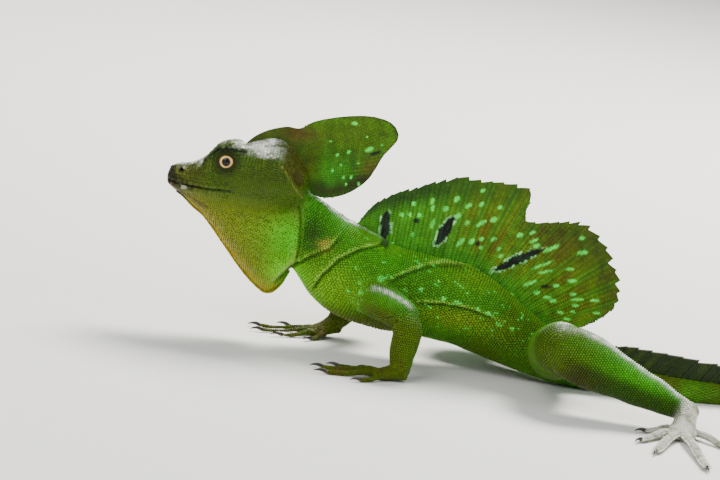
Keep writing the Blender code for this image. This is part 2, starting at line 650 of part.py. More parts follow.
def fin(name, roots, tips, normals):
    """A fin of rays with membrane between them; its two faces are alike, and it is thin at the edge.

    Each table row is one ray. The edge falls back a little between rays, and the rays stand
    out as ridges on both faces.
    """
    rays, rows = RAYS[name], RAY_ROWS[name]
    columns = (rays - 1) * RAY_COLUMNS + 1
    place = np.linspace(0.0, 1.0, len(roots))
    at = np.linspace(0.0, 1.0, columns)
    root, tip, normal = (curve(np.column_stack([place, each]), at) for each in (roots, tips, normals))
    on_ray = (np.arange(columns) % RAY_COLUMNS == 0)[:, None]
    out = np.linspace(0.0, 1.0, rows)[None, :]
    length = np.where(on_ray[:, 0], 1.0, 1.0 - SCALLOP)[:, None, None]
    sheet = root[:, None] + (tip - root)[:, None] * out[..., None] * length
    half = (FIN_HALF[0] + (FIN_HALF[1] - FIN_HALF[0]) * out) * np.where(on_ray, 1.0, MEMBRANE_SHARE)
    offset = unit(normal)[:, None] * half[..., None]
    count = columns * rows
    points = np.concatenate([(sheet + offset).reshape(-1, 3), (sheet - offset).reshape(-1, 3)])
    faces = []
    for i in range(columns - 1):
        for j in range(rows - 1):
            a, b = i * rows + j, (i + 1) * rows + j
            faces += [(a, b, b + 1), (a, b + 1, a + 1)]
            faces += [(count + a, count + b + 1, count + b), (count + a, count + a + 1, count + b + 1)]
    border = [i * rows for i in range(columns)]
    border += [(columns - 1) * rows + j for j in range(1, rows)]
    border += [i * rows + rows - 1 for i in range(columns - 2, -1, -1)]
    border += list(range(rows - 2, 0, -1))
    for a, b in zip(border, border[1:] + border[:1]):
        faces += [(a, count + a, count + b), (a, count + b, b)]
    return mesh_object(name, points, faces)


def flat_fin(name, table):
    """A fin in the animal's middle plane."""
    table = np.asarray(table)
    level = np.zeros(len(table))
    roots = np.column_stack([table[:, 0], level, table[:, 1]])
    tips = np.column_stack([table[:, 2], level, table[:, 3]])
    return fin(name, roots, tips, np.tile((0.0, 1.0, 0.0), (len(table), 1)))


def tail_fin():
    """Low fin along the top of the tail, following its bend, its rays leaning back."""
    share, height, lean = curve(
        np.column_stack([np.linspace(0.0, 1.0, len(TAIL_CREST)), TAIL_CREST]), np.linspace(0.0, 1.0, 30)
    ).T
    middle, along, half_height, _ = tail_line(share)
    slope = along * np.sin(np.radians(lean))[:, None] + np.cos(np.radians(lean))[:, None] * (0.0, 0.0, 1.0)
    roots = middle + (half_height - ROOT_DEPTH)[:, None] * (0.0, 0.0, 1.0)
    tips = roots + slope * ((height + ROOT_DEPTH) / np.cos(np.radians(lean)))[:, None]
    return fin("tail_crest", roots, tips, np.cross(along, (0.0, 0.0, 1.0)))


# Hands and feet


def digit(start, end_height, length, heading, bend, radius):
    """A finger or toe with its claw.

    It rises over the knuckle and lies down, and the claw arches to the floor.
    """
    share = np.array((-0.12, 0.0, 0.22, 0.5, 0.8, 0.96))
    turn = np.radians(heading + bend * share)
    step = np.diff(share, prepend=share[0]) * length
    x = start[0] + np.cumsum(np.cos(turn) * step)
    y = start[1] + np.cumsum(np.sin(turn) * step)
    lie = radius - FLOOR_SINK
    knuckle = 0.6 * start[2] + 0.4 * lie + 0.9
    z = np.array((start[2], start[2] + 0.5, knuckle, lie + 0.3, lie - 0.1, end_height))
    r = radius * np.array((0.9, 1.05, 1.0, 0.95, 0.9, 0.62))
    toe = closed_rings("toe", rings_round(np.column_stack([x, y, z]), r, r, 5))
    out = np.linspace(-0.25, 1.0, 4)
    ahead = np.array((math.cos(turn[-1]), math.sin(turn[-1]), 0.0))
    claw_line = np.array((x[-1], y[-1], 0.0)) + ahead * (out * CLAW[0])[:, None]
    claw_line[:, 2] = end_height + CLAW_ARCH * np.sin(math.pi * (out + 0.25) / 1.9)
    claw_line[:, 2] -= (end_height - 0.2) * out.clip(0.0) ** 2
    claw_half = CLAW[1] * (1 - 0.72 * out.clip(0.0))
    return [toe, closed_rings("claw", rings_round(claw_line, claw_half, claw_half * 0.8, 4))]


def paw(name):
    """A hand or foot: the palm or sole down from the wrist, then five digits, flat underneath."""
    limb, heading, inner = PAWS[name]
    wrist = np.asarray(LEG_JOINTS[limb][1])
    pad, digits = (PALM, FINGERS) if name.startswith("hand") else (SOLE, TOES)
    turn = math.radians(heading)
    ahead = np.array((math.cos(turn), math.sin(turn), 0.0))
    inward = np.array((-math.sin(turn), math.cos(turn), 0.0)) * inner
    at, rise, half_height, half_width = np.asarray(pad).T
    centres = wrist * (1.0, 1.0, 0.0) + ahead * at[:, None]
    centres[:, 2] = np.maximum(wrist[2] * rise, half_height - FLOOR_SINK)
    obj = closed_rings(name, rings_round(centres, half_height, half_width, 10))
    clearance = grown(obj)
    pieces = []
    for forward, aside, length, angle, bend, radius in digits:
        start = wrist * (1.0, 1.0, 0.0) + ahead * forward + inward * aside
        start[2] = DIGIT_START
        pieces += digit(start, radius - FLOOR_SINK, length, heading + inner * angle, inner * bend, radius)
    combined(obj, pieces, "UNION")
    combined(obj, [floor_block()], "DIFFERENCE")
    return obj, clearance


def stand_on_origin(objects):
    """Moves all along the floor by the same step, so that the origin is under the middle of the whole."""
    corners = np.concatenate([[vert.co for vert in obj.data.vertices] for obj in objects])
    middle = (corners.min(axis=0) + corners.max(axis=0)) / 2
    step = Vector((-middle[0], -middle[1], 0.0))
    for obj in objects:
        obj.data.transform(Matrix.Translation(step))


def main():
    removed(list(bpy.data.objects))
    head, eyes, head_clearance = head_and_eyes()
    throat = throat_pouch()
    throat_clearance = grown(throat)
    combined(throat, [grown(head)], "DIFFERENCE")
    paws, clearances = zip(*[paw(name) for name in PAWS])
    parts, body_clearance = body_parts([head_clearance, throat_clearance, *clearances])

    head_crest = flat_fin("head_crest", HEAD_CREST)
    sail = flat_fin("sail", SAIL)
    tail_crest = tail_fin()
    tail = [
        tail_length(name, first, last)
        for name, first, last in zip(("tail_base", "tail_middle", "tail_tip"), TAIL_CUTS, TAIL_CUTS[1:])
    ]
    combined(head_crest, [grown(head), grown(parts["neck"])], "DIFFERENCE")
    combined(sail, [body_clearance, grown(tail[0])], "DIFFERENCE")
    combined(tail_crest, [grown(tail[0]), grown(parts["torso"])], "DIFFERENCE")

    stand_on_origin(list(bpy.data.objects))
    for obj in (head, throat, *parts.values(), *tail):
        paint(obj, LEAF_GREEN)
    for obj in (head_crest, sail):
        paint(obj, OLIVE_GREEN)
    paint(tail_crest, DARK_OLIVE)
    for obj in paws:
        paint(obj, ASH_GREY)
    for obj in eyes:
        paint(obj, AMBER, roughness=EYE_ROUGHNESS)


main()
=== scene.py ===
"""Green basilisk, an adult male lizard, in its skin and scales.

Shapes are worked out in millimetres in the animal's own space: head towards -X, left side
towards -Y, +Z up, the nose 88 mm ahead of the zero point. placed() brings them into the
frame's space. One skin covers the whole body. Scales are solid mesh over it, each a low dome
in its own place, and take their markings from the same function as the skin.
"""

import json
import math

import bpy
import numpy as np
from bpy.props import FloatProperty, FloatVectorProperty, IntProperty, PointerProperty
from mathutils import Matrix, Vector

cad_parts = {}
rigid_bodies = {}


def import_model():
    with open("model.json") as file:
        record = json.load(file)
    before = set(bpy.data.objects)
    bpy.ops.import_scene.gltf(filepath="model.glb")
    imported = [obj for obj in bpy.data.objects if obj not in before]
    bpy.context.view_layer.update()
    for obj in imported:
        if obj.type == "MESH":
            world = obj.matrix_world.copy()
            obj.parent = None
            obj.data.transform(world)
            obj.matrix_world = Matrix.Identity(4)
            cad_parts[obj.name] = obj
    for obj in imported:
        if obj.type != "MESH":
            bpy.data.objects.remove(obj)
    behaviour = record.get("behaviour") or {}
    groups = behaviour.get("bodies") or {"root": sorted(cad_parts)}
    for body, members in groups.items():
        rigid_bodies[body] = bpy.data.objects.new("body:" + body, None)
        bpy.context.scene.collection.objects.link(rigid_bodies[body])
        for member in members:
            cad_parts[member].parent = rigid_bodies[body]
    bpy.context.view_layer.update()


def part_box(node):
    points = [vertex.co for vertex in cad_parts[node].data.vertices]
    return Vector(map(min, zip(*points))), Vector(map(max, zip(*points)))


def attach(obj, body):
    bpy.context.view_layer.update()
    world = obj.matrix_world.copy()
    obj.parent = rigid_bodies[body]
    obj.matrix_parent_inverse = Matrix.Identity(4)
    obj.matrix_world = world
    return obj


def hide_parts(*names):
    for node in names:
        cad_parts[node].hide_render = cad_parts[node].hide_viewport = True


bl_info = {
    "name": "Green basilisk",
    "version": (1, 0, 0),
    "blender": (4, 5, 0),
    "location": "View3D > Sidebar > Basilisk",
    "description": "Builds the skin, scales, crests, eyes and claws of a life-size green basilisk",
    "category": "Add Mesh",
}

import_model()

MM = 0.001
SEED = 20
BODY = "root"
TURN = 2 * math.pi
UP = (0, 0, 1)
SIDES = ("_left", "_right")

# The eye's middle in the animal's own space ties it to the frame's space
EYE_CENTRE = (-63, 5.5, 76.8)
EYE_RADIUS = 4.8
EYE_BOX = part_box("eye_left")
SHIFT = np.array((
    (EYE_BOX[0].x + EYE_BOX[1].x) / 2 / MM - EYE_CENTRE[0],
    (EYE_BOX[0].y + EYE_BOX[1].y) / 2 / MM + EYE_CENTRE[1],
    0,
))

# The skin and the coat over it: cell size of the trunk's first surface in metres, rounds of
# smoothing, how far the skin is drawn in under the coat, and lowest places over the floor
TRUNK_GRID = 0.001
TRUNK_SMOOTHING = 12
SEAM_SMOOTHING = 28
COAT_DEPTH = 0.22
SKIN_LIFT = 0.03
SCALE_LIFT = 0.02
# Skin and fins are darker than the scales on them: painted shade in the gaps between the scales
SKIN_SHADE = 0.5
FIN_SHADE = 0.75

# Spine from inside the head to the root of the tail: x, y, z, half height, half width
SPINE = (
    (-41, 0, 65, 10.5, 9.5), (-30, 0, 57, 12.2, 11.2), (-17, 0, 46, 16.4, 13),
    (-3, 0, 36.6, 20.3, 15.5), (12, 0, 31.8, 19.2, 16.4), (30, 0, 30.5, 18.3, 15.8),
    (45, 0, 29.4, 18.2, 15.3), (58, 0, 25, 16.6, 14.6), (70, 0, 19.8, 14.4, 13.8),
    (82, 0, 15, 12.2, 13), (93, 0, 11.6, 10.7, 11.6), (105, 0, 8.5, 8.6, 8.8),
    (116, 0, 7.4, 7.6, 7.2),
)
TRUNK_POWER = 2.15
TAIL_START = 105
TAIL_LENGTH = 470
TAIL_SWING = 26
TAIL_WAVE = 430
FLOOR_SINK = 0.35
# share of the tail's length, half height, half width
TAIL_TAPER = (
    (0.00, 8.6, 8.8), (0.03, 7, 6.7), (0.07, 5.8, 5.4), (0.13, 4.9, 4.4), (0.22, 4.3, 3.8),
    (0.45, 3.3, 3), (0.70, 2.4, 2.2), (0.90, 1.4, 1.3), (1.00, 0.8, 0.8),
)
# Head: x, top, bottom, half width, level of the mouth line and behind it of the cheek
HEAD = (
    (-88, 66, 64.6, 0.4, 65), (-87.4, 68.6, 62.8, 2.6, 64.4), (-85.6, 70.4, 61.3, 4.8, 64),
    (-80, 72.3, 58.8, 7, 63.6), (-75, 74.4, 56.6, 8.6, 63.5), (-70, 78, 55.2, 10.2, 63.6),
    (-65, 81.4, 54.2, 11.6, 64), (-60, 83, 53.4, 12.8, 64.7), (-55, 84.2, 52.6, 14, 65.4),
    (-50, 86, 52, 14.9, 66), (-45, 87.6, 51.6, 15.4, 66.4), (-40, 87.4, 51.6, 15.1, 66.8),
    (-35, 84.6, 52.4, 14, 67.2), (-30, 79.6, 55, 11.6, 67.4), (-27, 75, 59, 8, 67.4),
    (-25.8, 68.6, 66.4, 0.8, 67.4),
)
HEAD_LENGTH = 62
MOUTH_CROWDING = 0.34
MOUTH_CORNER = -59
MOUTH_DEPTH = 1.1
LIP_RISE = 0.35
# Ridges along the head: x of the middle, half length, angle up from the side, half angle, rise
BROW = (-63.6, 7.6, 60, 17, 4)
CANTHUS = (-78.5, 6.5, 50, 13, 0.8)
CROWN = (-42, 15, 90, 11, 1.3)
RIDGE_LEAN = 0.9
# Soft swellings and hollows on each side: middle, reach along each axis, how far they stand out
SWELLINGS = (
    ((-63, 8, 76.4), (5.8, 6, 5.2), 0.9),
    ((-44, 15.5, 64), (10, 8, 9), 1),
    ((-74.5, 8, 69.5), (6.5, 5, 2.6), -0.5),
)
# Fold under the brow, seen from the side: a groove in the skin, and painted shade of the brow's
# overhang
BROW_LINE = ((-73.4, 74.8), (-70.6, 78.2), (-67.6, 80.8), (-63.6, 82.3), (-59, 82.4), (-55.6, 81.8))
LID_THICKNESS = 0.65
LID_GAP = 0.2           # between the eyeball and the lid
SOCKET_GAP = 0.12
LID_OPENING = (3.3, 3)
NOSTRIL = (-81.8, 69.6)
# Eardrum, seen from the side: x, z, radii, tilt
EARDRUM = (-30.8, 74.4, 1.9, 3.2, 32)

# Throat pouch: x, lowest point, half width under the jaw
THROAT_TOP = 60.5
THROAT = (
    (-84.5, 60.2, 2.2), (-80, 57.8, 4.6), (-75, 53.9, 6.6), (-69.3, 50.2, 8.4), (-64.5, 45.4, 9.8),
    (-57, 37.2, 11.6), (-47.4, 27.3, 13.2), (-42, 23, 13.4), (-37.7, 20.8, 13.2),
    (-33.5, 22.8, 12.6), (-30, 29, 11.2), (-27.6, 38, 8.6), (-26.6, 48, 3),
)
THROAT_FULLNESS = 2

# Crests, seen from the side: x, z of a ray's root and x, z of its tip
HEAD_CREST = (
    (-56.5, 81, -56, 84.8), (-53.5, 82.5, -52.5, 88.6), (-49.5, 84, -47, 92.2),
    (-44, 85, -39.5, 94.9), (-39.5, 85, -33.4, 95.2), (-37, 84, -27, 99.4),
    (-34.5, 82.5, -15, 103.4), (-33, 81, -3, 105.3), (-32, 79, 6, 103.6), (-31, 77, 9.8, 97.6),
    (-30, 75, 4.4, 88.4), (-29, 73, -0.4, 77.6), (-28.5, 71, -8, 70.2), (-28.5, 69, -16.6, 66.6),
    (-28.5, 67.5, -22.6, 67.2),
)
SAIL = (
    (-2.5, 53, -1.5, 58.6), (1.5, 51, 1.7, 64.2), (5, 50, 5.3, 68.2), (10, 48, 10.4, 72),
    (16, 47.5, 16.8, 75.2), (22, 47.5, 23.4, 78.2), (29, 47.2, 31, 81.6), (36, 46.8, 40, 84.6),
    (43, 46.2, 50, 84.6), (49, 44.8, 59.5, 84.8), (53.5, 42.6, 70.4, 83.6), (57, 40.6, 70.4, 71),
    (60.5, 38.6, 80, 70.6), (64.5, 36.6, 88.8, 72.4), (68.5, 34.2, 97.6, 72.6),
    (72.5, 31.4, 106.4, 65.2), (76.5, 28.8, 112.2, 56.6), (80.5, 26.6, 116, 48),
    (84.5, 24.4, 116, 39.4), (88.5, 22.4, 110.6, 33), (92.5, 20.8, 103, 28.4), (95, 19.8, 98, 24.6),
)
# Tail crest: share of the tail's length, height over the tail, lean of its rays in degrees
TAIL_CREST = (
    (0.008, 5, 42), (0.03, 8.4, 40), (0.07, 9.3, 36), (0.12, 8.6, 36),
    (0.20, 7, 38), (0.30, 4.8, 42), (0.38, 2.6, 48), (0.415, 1.2, 55),
)
ROOT_DEPTH = 2.4
# Number of rays in each crest
FIN_RAYS = {"head_crest": 12, "sail": 21, "tail_crest": 20}

# Joints of the legs and radii along them
LEG_JOINTS = {name: np.array(ends) for name, *ends in (
    ("upper_arm_left", (4, -9, 29.5), (26.4, -42, 27)),
    ("forearm_left", (26.4, -42, 27), (25.6, -46, 5.5)),
    ("thigh_left", (92, -7, 14.5), (91.5, -54, 27.5)),
    ("shank_left", (91.5, -54, 27.5), (149, -60, 9.5)),
    ("upper_arm_right", (2, 9, 29.5), (14, 42, 27)),
    ("forearm_right", (14, 42, 27), (-6, 24, 7)),
    ("thigh_right", (91, 7, 14.5), (50, 41, 27.5)),
    ("shank_right", (50, 41, 27.5), (104, 61, 8.5)),
)}
LEG_TAPERS = {
    "upper_arm": ((0, 8.2), (0.3, 7.8), (0.6, 7.5), (0.85, 6.8), (1, 6.3)),
    "forearm": ((0, 6.2), (0.25, 6.4), (0.5, 5.9), (0.8, 5.3), (1, 5)),
    "thigh": ((0, 10.5), (0.3, 12), (0.6, 12), (0.85, 11.4), (1, 11)),
    "shank": ((0, 11), (0.2, 11.9), (0.42, 9.9), (0.65, 8.1), (0.85, 6.1), (1, 4.6)),
}
# Painted highlights along the top of the legs: first and last share of the length, half width, first
# lean outwards
RIM_HIGHLIGHT_LINES = (
    ("upper_arm", 0.38, 0.99, 1.55, 36), ("thigh", 0.86, 1, 3, 0), ("shank", 0, 0.95, 2.2, 8),
)
# Hands and feet: the limb that they end, heading in degrees from +X, side of the inner digit
PAWS = {
    "hand_left": ("forearm_left", 183, -1), "hand_right": ("forearm_right", 198, 1),
    "foot_left": ("shank_left", 262, -1), "foot_right": ("shank_right", 128, 1),
}
# Palm and sole: how far ahead of the wrist, share of its height, half height, half width
PALM = (
    (-4.6, 1, 0.6, 0.8), (-3.4, 1, 3.4, 3.9), (0, 0.86, 4.2, 4.9), (4, 0.56, 3.1, 5.6),
    (8, 0.38, 2.4, 5.6), (11, 0.30, 1.4, 3.6), (11.8, 0.28, 0.4, 1),
)
SOLE = (
    (-4.4, 1, 0.6, 0.8), (-3.2, 1, 3.4, 3.5), (1, 0.84, 4, 4.4), (7, 0.50, 3.4, 5.2),
    (13, 0.30, 2.7, 6.2), (17, 0.22, 1.8, 4.8), (18.4, 0.20, 0.4, 1.2),
)
# Digits from the inner to the outer: how far ahead and aside, length, heading, bend, radius
FINGERS = (
    (4, 3.4, 11.5, 48, -14, 1.35), (8, 3, 18, 22, -10, 1.45),
    (9.4, 0.6, 22.5, 4, -2, 1.5), (8.6, -2, 22.5, -16, 6, 1.45), (5, -3.8, 14.5, -46, 14, 1.35),
)
TOES = (
    (5, 3.2, 15, 62, -16, 1.5), (11.5, 3.8, 24, 34, -12, 1.65),
    (15, 2, 34, 12, -6, 1.75), (15.4, -1.6, 47, -16, 2, 1.8), (5, -3.6, 25, -58, 18, 1.6),
)
DIGIT_START = 2
CLAW = (5, 0.85)
CLAW_ARCH = 1

FLESH = (
    "head", "throat", "neck", "torso", "tail_base", "tail_middle", "tail_tip",
    *(part + side for part in ("upper_arm", "forearm", "hand", "thigh", "shank", "foot")
      for side in SIDES),
)

# Colours in linear light
LEAF = (0.038, 0.215, 0.003)
BRIGHT = (0.060, 0.40, 0.005)
GOLD = (0.38, 0.27, 0.008)
OLIVE = (0.072, 0.110, 0.002)
DARK_OLIVE = (0.022, 0.034, 0.002)
BROWN = (0.095, 0.062, 0.004)
BLACK = (0.003, 0.004, 0.004)
WHITE = (0.93, 0.94, 0.86)
TURQUOISE = (0.10, 1, 0.10)
FACE = (0.050, 0.082, 0.002)
POUCH = (0.165, 0.220, 0.003)
ORANGE = (0.46, 0.36, 0.05)
ASH = (0.74, 0.73, 0.63)


# Curves and surfaces


def curve(table, at):
    """Smooth values between the rows of a table: cubic pieces with the rows' mean slopes."""
    table = np.asarray(table, float)
    at = np.atleast_1d(np.asarray(at, float))
    place, values = table[:, 0], table[:, 1:]
    slopes = np.gradient(values, place, axis=0)
    row = np.clip(np.searchsorted(place, at) - 1, 0, len(place) - 2)
    step = (place[row + 1] - place[row])[:, None]
    t = ((at - place[row])[:, None] / step).clip(0, 1)
    return (
        (2 * t**3 - 3 * t**2 + 1) * values[row]
        + (t**3 - 2 * t**2 + t) * step * slopes[row]
        + (3 * t**2 - 2 * t**3) * values[row + 1]
        + (t**3 - t**2) * step * slopes[row + 1]
    )


def curves(table, at):
    """The curve's values as one array for each column, shaped as the places are."""
    return curve(table, np.ravel(at)).T.reshape(-1, *np.shape(at))


def spread(first, last, count):
    """Places from first to last that crowd towards both ends as a cosine does."""
    return first + (last - first) * (1 - np.cos(np.linspace(0, math.pi, count))) / 2


def unit(vectors):
    return vectors / np.linalg.norm(vectors, axis=-1, keepdims=True).clip(1e-9)


def bell(value, middle, half):
    """1 at the middle, falling as a bell curve."""
    return np.exp(-(((value - middle) / half) ** 2))


def step_up(value, first, last):
    """0 before first and 1 after last, with a smooth cubic between them."""
    t = ((value - first) / (last - first)).clip(0, 1)
    return t * t * (3 - 2 * t)


def step_down(value, first, last):
    return 1 - step_up(value, first, last)


def blob(across, up, half):
    """1 in the middle of a soft round patch."""
    return bell(np.hypot(across, up), 0, half)


def rounded(value, power):
    """A sine or cosine as it runs round a box whose corners are rounded by a power."""
    return np.sign(value) * np.abs(value) ** (2 / power)


def girth(half_height, half_width):
    """Length round an ellipse, nearly."""
    return TURN * np.sqrt((half_height**2 + half_width**2) / 2)


def running(steps):
    """Running total of steps, from 0."""
    return np.concatenate([[0], np.cumsum(steps)])


def numbered(count):
    """For rows of count items each: every item's row and its place in that row."""
    row = np.repeat(np.arange(len(count)), count)
    return row, np.arange(len(row)) - (np.cumsum(count) - count)[row]


def full_turn(count):
    """Angles round a circle, in radians."""
    return np.linspace(0, TURN, count, endpoint=False)


def columns(*values):
    """Values side by side, a single number standing for a whole column."""
    return np.column_stack(np.broadcast_arrays(*values))


def upright(turn, wide=1, high=1):
    """Points of an upright ellipse that faces to the side."""
    return columns(wide * np.cos(turn), 0, high * np.sin(turn))


def placed(points):
    """The animal's own millimetres as metres in the frame's space."""
    return (np.asarray(points) + SHIFT) * MM


def around(centres, along, half_height, half_width, turn, power=2):
    """Points round a path: each is the centre, plus level times the half width times a power
    of the turn's cosine, plus up times the half height times the same power of its sine."""
    level = unit(np.cross(along, UP) + (1e-9, 0, 0))
    up = np.cross(level, along)
    wide = half_width * rounded(np.cos(turn), power)
    high = half_height * rounded(np.sin(turn), power)
    return centres + level * wide[..., None] + up * high[..., None]


def tube(centres, half_height, half_width, sides, power=2, along=None):
    """Rings of points round a path."""
    if along is None:
        along = unit(np.gradient(centres, axis=0))
    turn = np.broadcast_to(full_turn(sides), (len(centres), sides))
    return around(
        centres[:, None], along[:, None], half_height[:, None], half_width[:, None], turn, power
    )


def grid_faces(count, sides, ring=(False, False)):
    """Faces of a grid of points, count by sides, closed into a ring in either direction."""
    i, j = (each.ravel() for each in np.meshgrid(
        np.arange(count - 1 + ring[0]), np.arange(sides - 1 + ring[1]), indexing="ij"
    ))
    k, n = (i + 1) % count, (j + 1) % sides
    return np.column_stack([i * sides + j, i * sides + n, k * sides + n, k * sides + j])


def ring_mesh(rings):
    """Points and faces of a tube through rings, closed by a fan at each end, facing outwards."""
    count, sides = rings.shape[:2]
    points = np.concatenate([rings.reshape(-1, 3), rings[:1].mean(1), rings[-1:].mean(1)])
    j = np.arange(sides)
    k, first, end = (j + 1) % sides, count * sides, (count - 1) * sides
    fans = [columns(first, k, j), columns(first + 1, end + j, end + k)]
    return outward(points, [grid_faces(count, sides, (False, True)), *fans])


def outward(points, faces):
    """The faces turned over if the closed surface's volume comes out negative."""
    volume = 0
    for group in faces:
        for corner in range(1, group.shape[1] - 1):
            a, b, c = (points[group[:, n]] for n in (0, corner, corner + 1))
            volume += np.einsum("ij,ij->", a, np.cross(b, c))
    return points, [group[:, ::-1] if volume < 0 else group for group in faces]


def merged(meshes):
    """Several (points, faces) as one."""
    points, faces, base = [], [], 0
    for each, groups in meshes:
        points.append(each)
        faces += [group + base for group in groups]
        base += len(each)
    return np.concatenate(points), faces


def new_object(name, points, faces, material=None, tint=None):
    """A smooth mesh object from arrays, its points in the animal's own space."""
    mesh = bpy.data.meshes.new(name)
    mesh.vertices.add(len(points))
    set_points(mesh, points)
    corners = np.concatenate([group.ravel() for group in faces])
    sizes = np.concatenate([np.full(len(group), group.shape[1]) for group in faces])
    mesh.loops.add(len(corners))
    mesh.loops.foreach_set("vertex_index", corners.astype(np.int32))
    mesh.polygons.add(len(sizes))
    mesh.polygons.foreach_set("loop_start", (np.cumsum(sizes) - sizes).astype(np.int32))
    mesh.update(calc_edges=True)
    mesh.shade_smooth()
    if tint is not None:
        set_tint(mesh, tint)
    if material is not None:
        mesh.materials.append(material)
    obj = bpy.data.objects.new(name, mesh)
    bpy.context.scene.collection.objects.link(obj)
    return obj


def set_tint(mesh, tint):
    layer = mesh.color_attributes.new("tint", "FLOAT_COLOR", "POINT")
    rgba = np.column_stack([tint.clip(0, 1), np.ones(len(tint))])
    layer.data.foreach_set("color", rgba.astype(np.float32).ravel())


def numbers(items, field, width=1, kind=np.int32):
    """One field of all of a mesh's points, edges or corners, as an array of the given width."""
    found = np.empty(len(items) * width, kind)
    items.foreach_get(field, found)
    return found.reshape(-1, width)


def own_points(mesh):
    """A mesh's points in the animal's own millimetres."""
    return numbers(mesh.vertices, "co", 3, np.float32) / MM - SHIFT


def set_points(mesh, points):
    mesh.vertices.foreach_set("co", placed(points).astype(np.float32).ravel())


def fitted(thing, **fields):
    """The thing with its fields set."""
    for field, value in fields.items():
        setattr(thing, field, value)
    return thing


def changed(obj, kind, **fields):
    """Applies a modifier of the given kind and settings to the object's mesh."""
    fitted(obj.modifiers.new(kind.lower(), kind), **fields)
    graph = bpy.context.evaluated_depsgraph_get()
    mesh = bpy.data.meshes.new_from_object(obj.evaluated_get(graph))
    obj.modifiers.clear()
    obj.data = mesh


# The body's own surfaces


def spine_rows(count):
    """Middle, half height and half width along the spine."""
    rows = np.asarray(SPINE)
    rows = curve(np.column_stack([np.arange(len(rows)), rows]), np.linspace(0, len(rows) - 1, count))
    return rows[:, :3], rows[:, 3], rows[:, 4]


def trunk_mesh():
    return ring_mesh(tube(*spine_rows(200), 96, TRUNK_POWER))


def leg_line(name, count):
    """Centres and radii along one length of a leg; the radius closes as a circle does past its ends."""
    start, end = LEG_JOINTS[name]
    taper = LEG_TAPERS[name.rsplit("_", 1)[0]]
    length = np.linalg.norm(end - start)
    ends = (-0.4 * taper[0][1] / length, 1 + 0.4 * taper[-1][1] / length)
    place = spread(*ends, count)
    radius = curve(taper, place.clip(0, 1))[:, 0]
    inset = np.minimum(place - ends[0], ends[1] - place) * length
    radius = radius * np.sqrt(1 - (1 - (inset / radius).clip(0, 1)) ** 2).clip(0.06, 1)
    return start + (end - start) * place[:, None], radius


def leg_mesh(name):
    centres, radius = leg_line(name, 48)
    return ring_mesh(tube(centres, radius, radius, 48))


def tail_line(share):
    """Middle of the tail, its direction, half height and half width: its heading swings as a
    sine of the length, so that it lies in one long double bend."""
    fine = np.linspace(0, 1, 400)
    heading = np.radians(TAIL_SWING) * np.sin(TURN * fine * TAIL_LENGTH / TAIL_WAVE)
    step = TAIL_LENGTH / (len(fine) - 1)
    x, y = TAIL_START + running(np.cos(heading[:-1]) * step), running(np.sin(heading[:-1]) * step)
    half_height, half_width = curves(TAIL_TAPER, share)
    middle = columns(np.interp(share, fine, x), np.interp(share, fine, y), half_height - FLOOR_SINK)
    turn = np.interp(share, fine, heading)
    along = columns(np.cos(turn), np.sin(turn), 0)
    return middle, along, half_height, half_width


def tail_mesh():
    share = np.linspace(0, 1, 640)
    middle, along, half_height, half_width = tail_line(share)
    return ring_mesh(tube(middle, half_height, half_width, 32, along=along))


def ridge(x, sine, middle, half_length, angle, half_angle, rise):
    """A rise that is flat along the head, fades at its ends and is bell-shaped across it."""
    up = np.degrees(np.arcsin(sine.clip(-1, 1)))
    along = np.exp(-(((x - middle) / half_length) ** 4))
    return rise * along * bell(up, angle, half_angle)


def head_at(x, turn):
    """The head's surface at x and at a turn round it: a rounded box, narrow above, with the
    mouth as a groove between two lips, brow and snout ridges and soft swellings."""
    top, bottom, width, level = curves(HEAD, x)
    angle = turn - MOUTH_CROWDING * np.sin(2 * turn)
    c, s = np.cos(angle), np.sin(angle)
    snout = np.clip((-50 - x) / 24, 0, 1)
    power = np.where(s > 0, 2.2 + 0.8 * snout, 2.1)
    wide, high = rounded(c, power), rounded(s, power)
    narrowing = 1 - (0.24 + 0.10 * snout) * high.clip(0, 1) - 0.08 * (-high).clip(0, 1)
    offset = np.where(s > 0, top - level, level - bottom) * high
    mouth = np.clip((MOUTH_CORNER - x) / 2.5, 0, 1)
    groove = bell(offset, 0, 0.5)
    lips = bell(np.abs(offset), 1.3, 0.8)
    across = width * wide * narrowing + c * mouth * (LIP_RISE * lips - MOUTH_DEPTH * groove)
    lift = ridge(x, s, *BROW) + ridge(x, s, *CANTHUS)
    across = across + c * RIDGE_LEAN * lift
    offset = offset + lift + ridge(x, s, *CROWN)
    points = np.stack([x, across, level + offset], axis=-1)
    right = np.stack([x, np.abs(across), points[..., 2]], axis=-1)
    for middle, reach, height in SWELLINGS:
        near = np.linalg.norm((right - middle) / reach, axis=-1)
        points[..., 1] += np.sign(c) * height * bell(near, 0, 1)
    return points


def head_mesh():
    x = spread(HEAD[0][0], HEAD[-1][0], 150)
    return ring_mesh(head_at(*np.meshgrid(x, full_turn(150), indexing="ij")))


def throat_at(x, turn):
    """The pouch's surface: turn runs from 0 at the jaw on the left, by 1 at the keel, to 2 at the
    jaw on the right; the width falls off as the depth's square, so that both sides meet in a keel."""
    lowest, width = curves(THROAT, x)
    depth = np.sin(math.pi / 2 * np.minimum(turn, 2 - turn))
    taper = (1 - depth**THROAT_FULLNESS) ** 0.8 * np.sqrt((depth / 0.1).clip(0, 1))
    across = width * taper * np.where(turn < 1, -1, 1)
    return np.stack([x, across, THROAT_TOP - (THROAT_TOP - lowest) * depth], axis=-1)


def throat_mesh():
    x = spread(THROAT[0][0], THROAT[-1][0], 90)
    return ring_mesh(throat_at(*np.meshgrid(x, full_turn(80) / math.pi, indexing="ij")))


def eye_middle(side):
    return np.array((EYE_CENTRE[0], side * EYE_CENTRE[1], EYE_CENTRE[2]))


